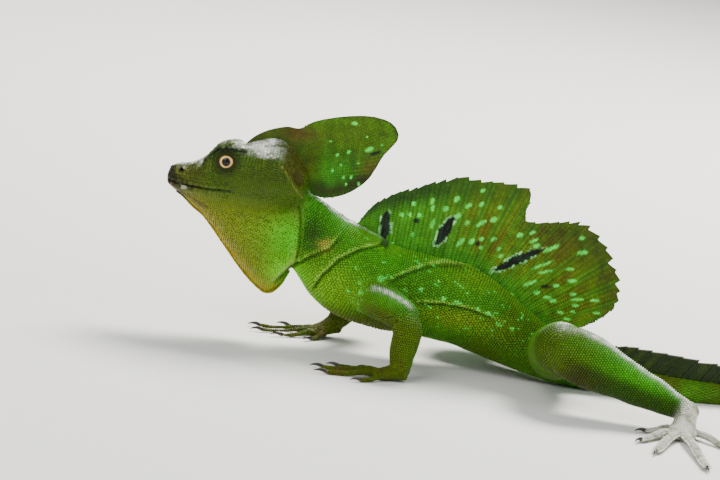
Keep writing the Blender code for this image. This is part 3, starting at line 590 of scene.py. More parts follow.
def ball_mesh(centre, radius, rings=48, sides=64):
    """A ball whose poles lie to the left and right."""
    lift = spread(-1, 1, rings) * radius
    wide = np.sqrt((radius**2 - lift**2).clip(1e-6))
    ring = upright(full_turn(sides))
    return ring_mesh((centre + columns(0, lift, 0))[:, None] + ring * wide[:, None, None])


def paw_frame(name):
    """Wrist, direction ahead and direction towards the inner digit."""
    limb, heading, inner = PAWS[name]
    turn = math.radians(heading)
    ahead = np.array((math.cos(turn), math.sin(turn), 0))
    inward = np.array((-math.sin(turn), math.cos(turn), 0)) * inner
    return LEG_JOINTS[limb][1], ahead, inward


def palm_line(name, count=28):
    wrist, ahead, _ = paw_frame(name)
    pad = PALM if name.startswith("hand") else SOLE
    at = spread(pad[0][0], pad[-1][0], count)
    rise, half_height, half_width = curves(pad, at)
    centres = wrist * (1, 1, 0) + ahead * at[:, None]
    centres[:, 2] = np.maximum(wrist[2] * rise, half_height - FLOOR_SINK)
    return centres, half_height, half_width


def digit_lines(name, count=44):
    """For each digit its centres, radii and heading at the tip: it rises over the knuckle, lies
    down along the floor, and swells a little at each joint."""
    wrist, ahead, inward = paw_frame(name)
    _, heading, inner = PAWS[name]
    digits = FINGERS if name.startswith("hand") else TOES
    found = []
    for forward, aside, length, angle, bend, radius in digits:
        start = wrist * (1, 1, 0) + ahead * forward + inward * aside
        share = np.array((-0.12, 0, 0.22, 0.5, 0.8, 0.96))
        turn = np.radians(heading + inner * (angle + bend * share))
        step = np.diff(share, prepend=share[0]) * length
        x = start[0] + np.cumsum(np.cos(turn) * step)
        y = start[1] + np.cumsum(np.sin(turn) * step)
        lie = radius - FLOOR_SINK
        knuckle = 0.6 * DIGIT_START + 0.4 * lie + 0.9
        z = (DIGIT_START, DIGIT_START + 0.5, knuckle, lie + 0.3, lie - 0.1, lie)
        r = radius * np.array((0.9, 1.05, 1, 0.95, 0.9, 0.62))
        at = spread(share[0], share[-1], count)
        rows = curve(np.column_stack([share, x, y, z, r]), at)
        joints = 3 if length < 20 else 4
        rows[:, 3] *= 0.93 + 0.09 * np.cos(TURN * joints * at.clip(0)) ** 2
        found.append((rows[:, :3], rows[:, 3], turn[-1]))
    return found


# Markings


def segment_distance(points, start, end):
    """Distance of each point in the side view from a stretch between two (x, z) places."""
    start, end = np.asarray(start, float), np.asarray(end, float)
    flat = points[..., (0, 2)]
    run = end - start
    share = ((flat - start) @ run / (run @ run)).clip(0, 1)
    return np.linalg.norm(flat - start - share[..., None] * run, axis=-1)


def path_distance(points, path):
    """Distance in the side view from a bent line."""
    return np.min([segment_distance(points, a, b) for a, b in zip(path, path[1:])], axis=0)


def mixed(colour, other, share):
    return colour + (np.asarray(other) - colour) * np.asarray(share)[..., None]


def painted(colour, layers):
    """The colour after other colours are mixed into it one after another, each by its share."""
    for other, share in layers:
        colour = mixed(colour, other, share)
    return colour


def waves(points, scale, seed):
    """A smooth, seeded mix of sine waves in many directions, about -1 to 1."""
    draw = np.random.default_rng(seed)
    total = np.zeros(points.shape[:-1])
    for _ in range(10):
        direction = unit(draw.normal(size=3)) * draw.uniform(0.6, 1.6) * TURN / scale
        total += np.sin(points @ direction + draw.uniform(0, TURN))
    return total / 3.2


def fold_fade(p, path):
    """1 along the middle of a fold, 0 at its ends."""
    ends = [np.hypot(p[..., 0] - path[n][0], p[..., 2] - path[n][1]) for n in (0, -1)]
    return step_up(np.minimum(*ends), 0, 6) * (np.abs(p[..., 1]) < 24)


# Folds of loose skin on each side, seen from the side: points (x, z), half width, depth, strength of
# the painted highlight on the fold's upper lip
FOLDS = (
    (((-28.6, 27), (-26.8, 36), (-26.2, 46), (-27, 56), (-29.4, 65.6)), 0.9, 1, 0.3),
    (((-35.8, 24.1), (-31.1, 30.8), (-26.3, 37.4), (-25.7, 45.2)), 1, 0.7, 0.9),
    (((-34.9, 24.4), (-28.2, 34), (-20.6, 41), (-12, 46.5), (-7.1, 54.6)), 1, 0.9, 0.5),
    (((-17.8, 24), (-14.1, 33.7), (-7.5, 42.5), (0.6, 47.9), (11.2, 51.4)), 0.9, 1, 0.9),
    (((14.5, 34.5), (18.8, 38.5), (25.9, 42.6), (32.1, 45.3), (41, 46.6), (50, 46.4)), 1.1, 0.8, 0.7),
    (((27, 28.6), (34, 29.6), (41.3, 30.4), (52.5, 29.8), (61.7, 27.6), (69, 24.4)), 0.9, 0.9, 0.9),
)
# Turquoise spots on the flanks: x, z, half length, half width
FLANK_SPOTS = (
    (40.1, 33.1, 1.3, 0.9), (46.4, 32.3, 1.5, 0.8), (56, 30.6, 1.2, 0.7), (60.2, 29.4, 1.4, 0.8),
    (29.5, 35.4, 1.2, 1), (3.9, 31.2, 1, 0.9), (13.5, 38.2, 0.7, 0.6), (-1.5, 29.6, 0.7, 0.7),
    (11.7, 37.6, 1.5, 1.1), (20.6, 41.4, 0.7, 0.6), (11.8, 44.2, 0.7, 0.5), (26.8, 44.2, 0.7, 0.5),
    (50, 37, 0.7, 0.6), (36.4, 40, 0.7, 0.5), (72, 24, 0.9, 0.7), (75.5, 28.8, 0.7, 0.6),
)


def ellipse(points, x, z, long, wide, degrees=0):
    """Distance in the side view from a tilted ellipse's middle, as a share of its radius."""
    turn = math.radians(degrees)
    dx, dz = points[..., 0] - x, points[..., 2] - z
    a = (dx * math.cos(turn) + dz * math.sin(turn)) / long
    b = (-dx * math.sin(turn) + dz * math.cos(turn)) / wide
    return np.hypot(a, b)


def spots(points, table, soft=0.35):
    """1 inside any of a table's ellipses x, z, half length, half width, angle; 0 outside."""
    inside = np.zeros(points.shape[:-1])
    for row in table:
        inside = np.maximum(inside, step_down(ellipse(points, *row), 1 - soft, 1 + soft))
    return inside


def nostril_distance(p, long=1.25):
    return ellipse(p, *NOSTRIL, long, 1) + 20 * (np.abs(p[..., 1]) < 2.5)


def body_colour(p):
    """The animal's colour at points in its own space; skin and scales both take theirs here."""
    x, y, z = p[..., 0], p[..., 1], p[..., 2]
    side = np.abs(y)
    broad, fine = waves(p, 34, 3), waves(p, 9, 4)
    colour = np.zeros((*x.shape, 3)) + LEAF
    colour = painted(colour, (
        (BRIGHT, 0.45 * step_up(broad, -0.1, 0.9)),
        (OLIVE, 0.5 * step_up(-broad, 0.1, 1) + 0.12 * step_up(fine, 0.2, 1)),
    ))

    # Trunk: yellower on the shoulder and breast; darker and browner below, as painted shade on the
    # underside
    shoulder = bell(x, -10, 17) * bell(z, 28, 15)
    flank_top = bell(x, 32, 34) * bell(z, 42, 9) * (side < 20)
    belly = step_up(-z, -24, -9) * step_up(x, -24, -8) * step_down(x, 84, 104)
    ridge_line = np.interp(x, (-4.6, 10.7, 37.4, 51.1, 66.5, 87.9), (55.3, 50, 48.3, 48.5, 38.3, 25.3))
    lime = bell(x, 47, 21) * bell(z, 25, 5.5) * (side < 24)
    rear_flank = bell(x, 54, 16) * bell(z, 43, 6.5) * (side < 22)
    breast = step_up(-z, -25, -15) * step_down(x, 18, 34) * step_up(x, -20, -8)
    crest_root = bell(z - ridge_line, 0, 2.6) * step_up(x, -8, -2) * step_down(x, 88, 96)
    colour = painted(colour, (
        ((0.20, 0.43, 0.004), 0.8 * shoulder),
        (BRIGHT, 0.35 * flank_top),
        # Painted shade on the belly
        (OLIVE, 0.55 * belly * step_down(side, 22, 34)),
        ((0.20, 0.27, 0.004), 0.62 * lime),
        ((0.17, 0.34, 0.004), 0.5 * rear_flank),
        # Painted shade on the low breast
        ((0.105, 0.100, 0.002), 0.7 * breast),
        ((0.12, 0.30, 0.004), 0.45 * crest_root * (side < 20)),
    ))

    # Legs: olive brown on the knee and darker in front of the thigh, painted shade under the knee and
    # along the low side of the shank, bright along the shank
    leg = step_up(side, 20, 30)
    knee = blob(x - 94, z - 22, 16) * leg
    low_arm = step_up(-z, -31, -22) * step_up(side, 17, 23) * (x < 45)
    high_arm = bell(x, 13, 11) * step_up(side, 21, 28) * bell(z, 26, 4.5)
    shank = bell(x, 125, 18) * leg * step_up(z, 9, 16)
    under = step_up(np.interp(x, (91.5, 149), (28, 14.5)) - z, -1.5, 4.5) * step_up(x, 88, 102)
    colour = painted(colour, (
        ((0.10, 0.125, 0.002), 0.65 * knee),
        (OLIVE, 0.7 * low_arm),
        ((0.078, 0.082, 0.002), 0.7 * high_arm),
        (BRIGHT, 0.4 * shank),
        # Painted shade along the low side of the shank
        ((0.024, 0.050, 0.002), 0.88 * under * leg),
        # Painted shade under the knee
        ((0.045, 0.042, 0.002), 0.85 * blob(x - 98, z - 13, 10.5) * leg),
        ((0.040, 0.085, 0.002), 0.6 * bell(x, 80, 8) * step_up(side, 22, 32)),
    ))

    # Tail: browner and banded towards its tip
    tail = step_up(x, 112, 150) * (1 - leg * (z > 6))
    bands = 0.5 + 0.5 * np.sin(x / 17 + 0.6 * broad)
    colour = painted(colour, (
        (BROWN, tail * (0.35 + 0.4 * step_up(bands, 0.45, 0.8))),
        ((0.16, 0.22, 0.02), 0.3 * tail * step_up(-bands, -0.3, 0)),
    ))

    # Head and throat
    head = step_up(-x, 22, 30) * step_up(z, 48, 58)
    lower_face = bell(z, 58, 5) * step_up(-x, 34, 44)
    pouch = step_up(-x, 24.5, 27) * step_down(z, 50, 64)
    keel = np.interp(
        x, (-84, -75, -69, -57, -47, -42, -38, -33, -28), (60, 54, 50, 37, 27, 23, 21, 23, 40)
    )
    rear = bell(x, -28.5, 12) * bell(z, 49, 19)
    neck_hollow_shade = bell(x, -21, 6.5) * bell(z, 52, 9)
    gular = blob((x + 29.5) / 1.3, z - 32, 6) * step_down(z, 38, 46)
    lid = np.hypot(x + 63, z - 76.8)
    snout_tip = step_up(-x - 0.2 * (z - 66) + 0.8 * fine, 79, 85.5)
    drum = step_down(eardrum(p), 0.85, 1.1)
    rows = np.array(HEAD).T
    level, top = (np.interp(x, rows[0], rows[column]) for column in (4, 1))
    mouth = bell(z - level, 0, 0.55) * step_up(-x, 57, 60)
    lip_marks = bell(z - level, -0.2, 1.8) * step_up(-x, 64, 78) * step_up(waves(p, 5, 9), 0.1, 0.5)
    pale_lip = bell(z - level, -1.8, 1.4) * step_up(-x, 76, 82) * step_up(-waves(p, 4, 10), 0.25, 0.6)
    arc = np.interp(x, (-75, -72.6, -68, -63.6, -55.9, -52), (70, 76.1, 81.8, 83.6, 83.4, 76))
    # Painted highlight: the top of the head, snout to crown, is painted white as if it catches the
    # light
    crown = step_up(z - top, -3.2, -0.5) * step_up(-x, 36, 44) * (1 - 0.5 * step_up(-x, 77, 83))
    crown = crown * step_up(z - arc, -0.6, 0.4)
    patchy = 0.3 + 0.7 * step_up(waves(p, 3.2, 12), -0.8, 0.1)
    casque_highlight = blob((x + 47.5) / 1.5, z - 84.2, 4) * step_up(z, 80, 82)
    brow_shadow = path_distance(p, BROW_LINE)
    nostril = nostril_distance(p)
    chin = path_distance(p, ((-86, 62.6), (-80, 59.6), (-74, 57.2), (-68.5, 55.4)))
    rim = path_distance(p, ((-38.9, 78.8), (-34.6, 74.1), (-30.1, 68.5), (-28, 66.6)))
    behind = step_up(x - np.interp(z, (68.5, 78.8), (-30.1, -38.9)), 0, 1.6) * step_up(z, 68, 72) * head
    colour = painted(colour, (
        (FACE, 0.9 * head),
        ((0.062, 0.066, 0.002), 0.7 * head * step_up(-x, 66, 76) * step_down(z, 74, 80)),
        (POUCH, 0.4 * lower_face),
        (POUCH, 0.8 * pouch),
        ((0.24, 0.19, 0.004), 0.5 * pouch * bell(z - keel, 3, 12)),
        (GOLD, 0.7 * pouch * bell(z - keel, 0, 4)),
        ((0.085, 0.48, 0.004), 0.97 * pouch * rear),
        # Painted shade in the hollow of the neck behind the pouch
        ((0.022, 0.065, 0.003), 0.92 * neck_hollow_shade * (1 - pouch)),
        ((0.20, 0.68, 0.006), 0.95 * gular),
        (DARK_OLIVE, 0.9 * step_down(lid, 4.6, 7.4) * (side > 5)),
        (OLIVE, 0.5 * bell(lid, 5.1, 0.5) * (side > 5)),
        ((0.014, 0.012, 0.003), 0.85 * snout_tip),
        ((0.085, 0.080, 0.005), 0.6 * drum),
        # Painted shade: black along the groove of the mouth line
        (BLACK, 0.9 * mouth),
        (BLACK, 0.75 * lip_marks),
        (WHITE, 0.36 * pale_lip),
        # Painted highlight on the crown and casque scales
        (WHITE, 0.95 * crown * patchy * step_up(waves(p, 7, 14), -1, 0.2)),
        (WHITE, 0.95 * casque_highlight * patchy),
        # Painted shade: black under the overhang of the brow
        (BLACK, 0.85 * bell(brow_shadow, 0, 1.1) * (side > 5)),
        ((0.11, 0.125, 0.012), 0.85 * bell(nostril, 1.9, 0.75)),
        # Painted shade: black in the nostril's pit
        (BLACK, 0.97 * bell(nostril, 0, 0.9)),
        (BROWN, 0.7 * bell(chin, 0, 0.9) * (side > 2)),
        (BROWN, 0.45 * behind),
        ((0.22, 0.23, 0.03), 0.65 * bell(rim, 0, 0.38) * (z > 66)),
    ))

    # Nape, patch on the neck, folds with a painted highlight on the lip and painted shade in the
    # crease, and spots
    nape_line = ((-24, 68), (-19.3, 65.6), (-12.8, 61.4), (-5.6, 57.8), (1.6, 54.4), (11, 50.8))
    broadness = np.interp(x, (-22, -15, -7, 4), (1.5, 1.9, 2.7, 1.6))
    nape = bell(path_distance(p, nape_line), 0, broadness) * (1 - 0.6 * step_up(x, -2, 3))
    nape = nape * (0.25 + 0.75 * step_up(waves(p, 3.6, 15), -0.35, 0.05)) * step_down(side, 1.6, 4.8)
    patch = blob(x + 14.9, (z - 48) / 1.2, 2.6) * step_up(fine, -0.7, 0.2)
    colour = painted(colour, (
        (WHITE, 0.85 * nape),
        (BLACK, 0.9 * nape * step_up(waves(p, 2.6, 16), 0.1, 0.35)),
        (ORANGE, 0.75 * patch),
    ))
    for path, half, _, pale in FOLDS:
        # Each fold gets a painted highlight on its upper lip, broken in places
        line = path_distance(p + np.array((1.05, 0, -1.05)), path)
        fade = fold_fade(p, path)
        highlight_breaks = 0.45 + 0.55 * step_up(waves(p, 7, 17), -0.7, 0.5)
        colour = mixed(colour, (0.34, 0.66, 0.07), pale * highlight_breaks * bell(line, 0, 0.7 * half) * fade)
        # Painted shade in the fold's crease
        groove = path_distance(p, path)
        colour = mixed(colour, (0.012, 0.03, 0.003), 0.55 * bell(groove, 0.2, 0.7 * half) * fade)
    flank = (side < 24) * 1
    freckles = step_up(waves(p, 3.4, 21), 1.15, 1.4) * step_up(x, -6, 6) * flank * step_up(z, 16, 24)
    bars = spots(p, ((10.8, 51.2, 2, 2.2, 60), (33.4, 52, 2, 2.2, 60), (59.5, 45, 2, 2.2, 60)))
    rim_highlight_line = rim_highlights(p)
    colour = painted(colour, (
        (TURQUOISE, 0.85 * spots(p, FLANK_SPOTS) * flank),
        (TURQUOISE, 0.5 * freckles),
        (BLACK, 0.7 * bars * (side < 8)),
        # Painted highlight along the top of the legs
        (WHITE, 0.85 * rim_highlight_line * (0.35 + 0.65 * step_up(waves(p, 3.4, 18), -0.9, 0.4))),
    ))

    # Feet ash grey, hands olive with pale skin under
    for name in PAWS:
        wrist, ahead, _ = paw_frame(name)
        away = p[..., :2] - wrist[:2]
        near = step_up(away @ ahead[:2] + 1.5 * fine, -5, 4)
        near = near * step_down(np.linalg.norm(away, axis=-1), 74, 78)
        near = near * step_down(z, wrist[2] + 3, wrist[2] + 9)
        up_leg = (p - wrist) @ unit(LEG_JOINTS[PAWS[name][0]][0] - wrist)
        near = near * (1 - step_up(up_leg, 1, 6) * step_up(z, 5, 7))
        if name.startswith("foot"):
            grey = mixed(np.zeros_like(colour) + ASH, OLIVE, 0.45 * step_up(waves(p, 6, 31), -0.1, 0.9))
            near = 0.94 * near * (side > 34)
        else:
            grey = mixed(np.zeros_like(colour) + OLIVE, BROWN, 0.5 * step_up(fine, -0.4, 0.8))
        colour = mixed(colour, grey, near)
    return colour


def rim_highlights(p):
    """Painted highlight along the top of the upper arms, knees and shanks, where they catch the light.
    """
    found = np.zeros(p.shape[:-1])
    for part, first, last, half, lean in RIM_HIGHLIGHT_LINES:
        for side, outwards in zip(SIDES, (1, -1)):
            start, end = LEG_JOINTS[part + side]
            run = end - start
            share = ((p - start) @ run / (run @ run)).clip(first, last)
            radius = curve(LEG_TAPERS[part], share.ravel()).reshape(*share.shape, 1)
            up = unit(np.array(UP) - unit(run) * unit(run)[2])
            outer = np.cross(unit(run), up) * outwards
            share = share[..., None]
            turn = np.radians(lean) * (1 - share) * 1.5
            ridge_top = start + run * share + radius * (up * np.cos(turn) + outer * np.sin(turn))
            found = np.maximum(found, bell(np.linalg.norm(p - ridge_top, axis=-1), 0, half))
    return found


def creases(p):
    """Creases in the bends of elbows and knees: they fan out from the joint on its inner side."""
    depth = np.zeros(p.shape[:-1])
    for upper, lower in (("upper_arm", "forearm"), ("thigh", "shank")):
        for side in SIDES:
            start, joint = LEG_JOINTS[upper + side]
            first, second = unit(start - joint), unit(LEG_JOINTS[lower + side][1] - joint)
            inner, across = unit(first + second), unit(first - second)
            away = p - joint
            angle = np.arctan2(away @ across, away @ inner)
            reach = np.linalg.norm(away, axis=-1)
            fan = 0.5 + 0.5 * np.cos(angle * 13 + 0.6 * waves(p, 9, 44))
            depth += 0.75 * fan**3 * bell(angle, 0, 0.75) * bell(reach, 8, 6.5)
    return depth


def fold_depth(p):
    """How far the skin is drawn in at folds, nostrils and eardrums, and stands out beside them."""
    depth = np.zeros(p.shape[:-1])
    side = np.abs(p[..., 1])
    for path, half, deep, _ in FOLDS:
        line = path_distance(p, path)
        edge = path_distance(p + np.array((1.7, 0, -1.7)) * half, path)
        fade = fold_fade(p, path) * deep
        depth += fade * (1.5 * bell(line, 0, half) - 0.8 * bell(edge, 0, 2.3 * half))
    depth = depth * step_up(side, 3, 7) * step_down(side, 20, 24)
    depth += 1.7 * blob((p[..., 0] + 20.5) / 6, (p[..., 2] - 51) / 8.5, 1) * step_up(side, 3, 8)
    loose = waves(p * (1, 0.6, 0.6), 11, 40)
    neck = bell(p[..., 0], -14, 14) * (side < 22)
    depth += 0.35 * neck * loose + 0.10 * waves(p, 14, 41)
    legs = step_up(side, 17, 26) * step_up(p[..., 2], 6, 12) * (p[..., 0] > -30)
    depth += legs * (0.38 * waves(p, 19, 43) + creases(p))
    brow = path_distance(p, BROW_LINE)
    depth += 0.55 * bell(brow, 0, 0.9) * step_up(side, 6, 8)
    nostril = nostril_distance(p)
    depth += 1.7 * bell(nostril, 0, 0.7) - 0.4 * bell(nostril, 1.35, 0.5)
    ear = eardrum(p)
    return depth + 0.55 * step_down(ear, 0.6, 1.05) - 0.3 * bell(ear, 1.25, 0.22)


# Finishes


def set_values(node, values):
    """Constant values on a node's sockets."""
    for socket, value in values.items():
        node.inputs[socket].default_value = value


def new_node(tree, kind, values=None, **fields):
    """A shader node with its fields set and constant values on its sockets."""
    node = fitted(tree.nodes.new("ShaderNode" + kind), **fields)
    set_values(node, values or {})
    return node


def join(tree, *links):
    """Links, each from a node's output to a node's input."""
    for source, output, target, socket in links:
        tree.links.new(source.outputs[output], target.inputs[socket])


def group_node(tree, name, **values):
    """A node for a shared group, which is made when it is first asked for."""
    group = bpy.data.node_groups.get(name) or GROUPS[name]()
    return new_node(tree, "Group", values, node_tree=group)


def new_group(name, inputs, outputs):
    group = bpy.data.node_groups.new(name, "ShaderNodeTree")
    for label, kind, value in inputs:
        socket = group.interface.new_socket(label, in_out="INPUT", socket_type=kind)
        if value is not None:
            socket.default_value = value
    for label, kind in outputs:
        group.interface.new_socket(label, in_out="OUTPUT", socket_type=kind)
    return group, group.nodes.new("NodeGroupInput"), group.nodes.new("NodeGroupOutput")


def noise_node(tree, scale):
    """Noise on Object coordinates, its scale in metres to the power of minus one."""
    noise = new_node(tree, "TexNoise", {"Scale": scale, "Detail": 3, "Roughness": 0.55})
    join(tree, (new_node(tree, "TexCoord"), "Object", noise, "Vector"))
    return noise


def mottle_group():
    """Colour variation: the colour is darkened and lightened by two sizes of noise."""
    group, inside, outside = new_group(
        "Mottle",
        (("Colour", "NodeSocketColor", None), ("Amount", "NodeSocketFloat", 0.3)),
        (("Colour", "NodeSocketColor"), ("Mask", "NodeSocketFloat")),
    )
    small, large = noise_node(group, 900), noise_node(group, 160)
    add = new_node(group, "Math", operation="ADD")
    centre = new_node(group, "Math", {1: 1}, operation="SUBTRACT")
    scale = new_node(group, "Math", {2: 1}, operation="MULTIPLY_ADD")
    shade = new_node(group, "VectorMath", operation="SCALE")
    join(
        group, (small, "Fac", add, 0), (large, "Fac", add, 1), (add, 0, centre, 0),
        (centre, 0, scale, 0), (inside, "Amount", scale, 1), (inside, "Colour", shade, 0),
        (scale, 0, shade, "Scale"), (shade, 0, outside, "Colour"), (small, "Fac", outside, "Mask"),
    )
    return group


def grain_group():
    """Fine grain as a normal: noise and cells of the given size, as height for a bump."""
    group, inside, outside = new_group(
        "Grain",
        (("Scale", "NodeSocketFloat", 2500), ("Strength", "NodeSocketFloat", 0.3),
         ("Depth", "NodeSocketFloat", 0.0001)),
        (("Normal", "NodeSocketVector"),),
    )
    place = new_node(group, "TexCoord")
    cells = new_node(group, "TexVoronoi", feature="DISTANCE_TO_EDGE")
    noise = noise_node(group, 1800)
    add = new_node(group, "Math", {1: 1.2}, operation="MULTIPLY_ADD")
    bump = new_node(group, "Bump")
    join(
        group, (place, "Object", cells, "Vector"), (inside, "Scale", cells, "Scale"),
        (cells, "Distance", add, 0), (noise, "Fac", add, 2), (add, 0, bump, "Height"),
        (inside, "Strength", bump, "Strength"), (inside, "Depth", bump, "Distance"),
        (bump, "Normal", outside, "Normal"),
    )
    return group


GROUPS = {"Mottle": mottle_group, "Grain": grain_group}


def new_material(name, amount, values, colour=None):
    """A material whose colour, the mesh's tint or the one given, is mottled by the amount, with
    its node tree, shader and mottling; values are the shader's own."""
    material = bpy.data.materials.new(name)
    material.use_nodes = True
    tree = material.node_tree
    shader = tree.nodes["Principled BSDF"]
    set_values(shader, values)
    mottle = group_node(tree, "Mottle", Amount=amount)
    if colour is None:
        join(tree, (new_node(tree, "Attribute", attribute_name="tint"), "Color", mottle, "Colour"))
    else:
        set_values(mottle, {"Colour": (*colour, 1)})
    join(tree, (mottle, "Colour", shader, "Base Color"))
    return material, tree, shader, mottle


def skin_material(name, amount, grain, gloss):
    """Skin or scale: the mesh's tint with mottling, rougher and smoother in places, fine grain."""
    material, tree, shader, mottle = new_material(name, amount, {"Specular IOR Level": 0.18})
    relief = group_node(tree, "Grain", Scale=grain, Strength=0.35)
    rough = new_node(tree, "MapRange", {
        "From Min": 0.3, "From Max": 0.7, "To Min": gloss - 0.08, "To Max": gloss + 0.12,
    })
    join(
        tree, (mottle, "Mask", rough, "Value"), (rough, "Result", shader, "Roughness"),
        (relief, "Normal", shader, "Normal"),
    )
    return material


# Scales


# Rim of one scale: x along it, y across it, z up from the skin
RIM = np.array([(0.59 * math.cos(a), 0.59 * math.sin(a), -0.22) for a in np.radians(range(0, 360, 60))])
CLOSED_BELOW = [(0, 2, 1), (0, 3, 2), (0, 4, 3), (0, 5, 4)]
# How high a scale stands and how far apart its rings lie, as shares of its size
RELIEF = 0.34
RING_STEP = 0.9
PATCH = 0.0026          # size of a scale's patch on the chart
# How near two scales may lie, as shares of their size: in one coat, beside another coat, and for
# the seeded scales beside the rings and beside each other
OWN_GAP, COAT_GAP, RING_GAP, FILL_GAP = 0.5, 0.75, 0.8, 0.62
FILL_TRIES = 9          # random places for each scale's area
# How far each scale turns by itself, and the ranges of its size and brightness
TURN_SPREAD = 0.10
SIZE_RANGE = (0.9, 1.12)
TONE_RANGE = (0.84, 1.16)


def small_scale():
    """A six-sided low dome with one top point, closed below: its corners, its triangles and how
    bright each corner is painted, as painted shade at its rim and a painted highlight at its top."""
    faces = [(j, (j + 1) % 6, 6) for j in range(6)]
    return np.vstack([RIM, (0.06, 0, 1)]), np.array(faces + CLOSED_BELOW), np.array([0.5] * 6 + [1.36])


def plate_scale():
    """A six-sided plate with a rounded edge and a slightly raised middle, closed below."""
    corners = np.vstack([RIM, RIM * (0.82, 0.82, 0) + (0.02, 0, 0.78), (0.05, 0, 1)])
    faces = []
    for j in range(6):
        k = (j + 1) % 6
        faces += [(j, k, 6 + k), (j, 6 + k, 6 + j), (6 + j, 6 + k, 12)]
    return corners, np.array(faces + CLOSED_BELOW), np.array([0.28] * 6 + [0.80] * 6 + [0.94])


def keeled_scale():
    """A long scale with a keel along its middle that ends in a point."""
    corners = np.array((
        (0.85, 0, 0.35), (0.25, 0.5, -0.2), (-0.45, 0.42, -0.35), (-0.6, 0, -0.35),
        (-0.45, -0.42, -0.35), (0.25, -0.5, -0.2), (0.45, 0, 1), (-0.35, 0, 0.55),
    ))
    faces = [(0, 1, 6), (1, 2, 7), (1, 7, 6), (2, 3, 7), (3, 4, 7), (4, 5, 7), (5, 6, 7), (5, 0, 6)]
    return corners, np.array(faces + CLOSED_BELOW), np.array([0.9, 0.5, 0.45, 0.45, 0.45, 0.5, 1.2, 1])


class Roots:
    """Where scales sit: places, directions along them, sizes (length, width, height), places on an
    unwrap of the surface that they grow on, and directions away from it."""

    def __init__(self, place, along, size, chart, normal=UP):
        self.place = np.asarray(place, float).reshape(-1, 3)
        self.along, self.size, self.normal = (
            np.broadcast_to(each, self.place.shape).astype(float) for each in (along, size, normal)
        )
        self.chart = np.asarray(chart, float).reshape(-1, 2)

    def parts(self):
        return self.place, self.along, self.size, self.chart, self.normal

    def where(self, chosen):
        return Roots(*(each[chosen] for each in self.parts()))


def together(sets):
    return Roots(*(np.concatenate(each) for each in zip(*(roots.parts() for roots in sets))))


def on_skin(roots, skin, reach):
    """The roots moved to the nearest place on the skin, with its normals. Those that lie further
    from it than reach, inside another part, are dropped."""
    cloud = new_object("roots", roots.place, [np.empty((0, 3), int)])
    found = []
    for lift in (0, 0.001):
        fitted(cloud.modifiers.new("nearest", "SHRINKWRAP"), target=skin, offset=lift,
               wrap_method="NEAREST_SURFACEPOINT", wrap_mode="ABOVE_SURFACE")
        graph = bpy.context.evaluated_depsgraph_get()
        found.append(own_points(cloud.evaluated_get(graph).data))
        cloud.modifiers.clear()
    bpy.data.objects.remove(cloud)
    near = np.linalg.norm(found[0] - roots.place, axis=1) < reach
    moved = Roots(found[0], roots.along, roots.size, roots.chart, unit(found[1] - found[0]))
    return moved.where(near)


CELL_BITS = 14          # enough for the number of a cube along one axis
GRID_SHIFTS = ((0, 0, 0), (0.5, 0.5, 0.5), (0.5, 0, 0.5), (0, 0.5, 0))


def cells(points, size, shift):
    """One whole number for each point, the same for points in the same cube of a grid."""
    index = np.floor(points / size + shift).astype(np.int64) + 2 ** (CELL_BITS - 2)
    return (index[:, 0] << 2 * CELL_BITS) + (index[:, 1] << CELL_BITS) + index[:, 2]


def first_in_cell(points, size):
    """Indices of the points that come first in their cube, in four grids shifted against each other."""
    kept = np.arange(len(points))
    for shift in GRID_SHIFTS:
        _, first = np.unique(cells(points[kept], size, shift), return_index=True)
        kept = kept[np.sort(first)]
    return kept


def clear_of(points, taken, size):
    """True for points whose cube holds none of the points taken, in any of the four grids."""
    free = np.ones(len(points), bool)
    for shift in GRID_SHIFTS:
        free &= ~np.isin(cells(points, size, shift), cells(taken, size, shift))
    return free


def scale_mesh(name, roots, shape, material, colour=None, seed=SEED):
    """All the scales of a coat piece as one mesh: the corners of one scale, times each root's size,
    turned into the directions along, across and up at the root. OFBake holds one small patch for
    each scale, at its root's place on the chart."""
    corners, faces, light = shape
    draw = np.random.default_rng(seed)
    count, per = len(roots.place), len(corners)
    up = roots.normal
    along = unit(roots.along - (roots.along * up).sum(1, keepdims=True) * up)
    turn = draw.normal(0, TURN_SPREAD, count)[:, None]
    across = np.cross(up, along)
    along, across = along + turn * across, across - turn * along
    local = corners[None] * (roots.size * draw.uniform(*SIZE_RANGE, (count, 3)))[:, None]
    points = (
        roots.place[:, None]
        + local[..., :1] * along[:, None]
        + local[..., 1:2] * across[:, None]
        + local[..., 2:] * up[:, None]
    )
    points[..., 2] = points[..., 2].clip(SCALE_LIFT)
    index = (faces[None] + (np.arange(count) * per)[:, None, None]).reshape(-1, 3)
    tone = draw.uniform(*TONE_RANGE, count)[:, None, None]
    tint = body_colour(roots.place)[:, None] if colour is None else colour(points)
    # Each corner's brightness is painted shade low at the scale's rim and a painted highlight on its
    # top
    tint = tint * light[None, :, None] * tone
    obj = new_object(name, points.reshape(-1, 3), [index], material, tint.reshape(-1, 3))
    patch = (roots.chart[:, None] + corners[None, :, :2] * PATCH).reshape(-1, 2).astype(np.float32)
    layer = obj.data.uv_layers.new(name="OFBake")
    layer.data.foreach_set("uv", patch[index.ravel()].ravel())
    return obj


def ring_places(perimeter, pitch):
    """Ring number and turn, from 0 to 1, of scales set round a stack of rings: each ring takes as
    many as fit its perimeter, and every other ring is turned by half a scale."""
    count = np.maximum(np.round(perimeter / pitch).astype(int), 4)
    ring, within = numbered(count)
    return ring, (within + 0.5 * (ring % 2)) / count[ring]


def tube_roots(centres, along, half_height, half_width, pitch, height, tile, power=2):
    """Roots in rings round a path that is already cut into steps of one scale."""
    ring, turn = ring_places(girth(half_height, half_width), pitch)
    place = around(
        centres[ring], along[ring], half_height[ring], half_width[ring], TURN * turn, power
    )
    chart = in_tile(ring / max(len(centres) - 1, 1), turn, tile)
    return Roots(place, along[ring], (pitch * 1.12, pitch, height), chart)


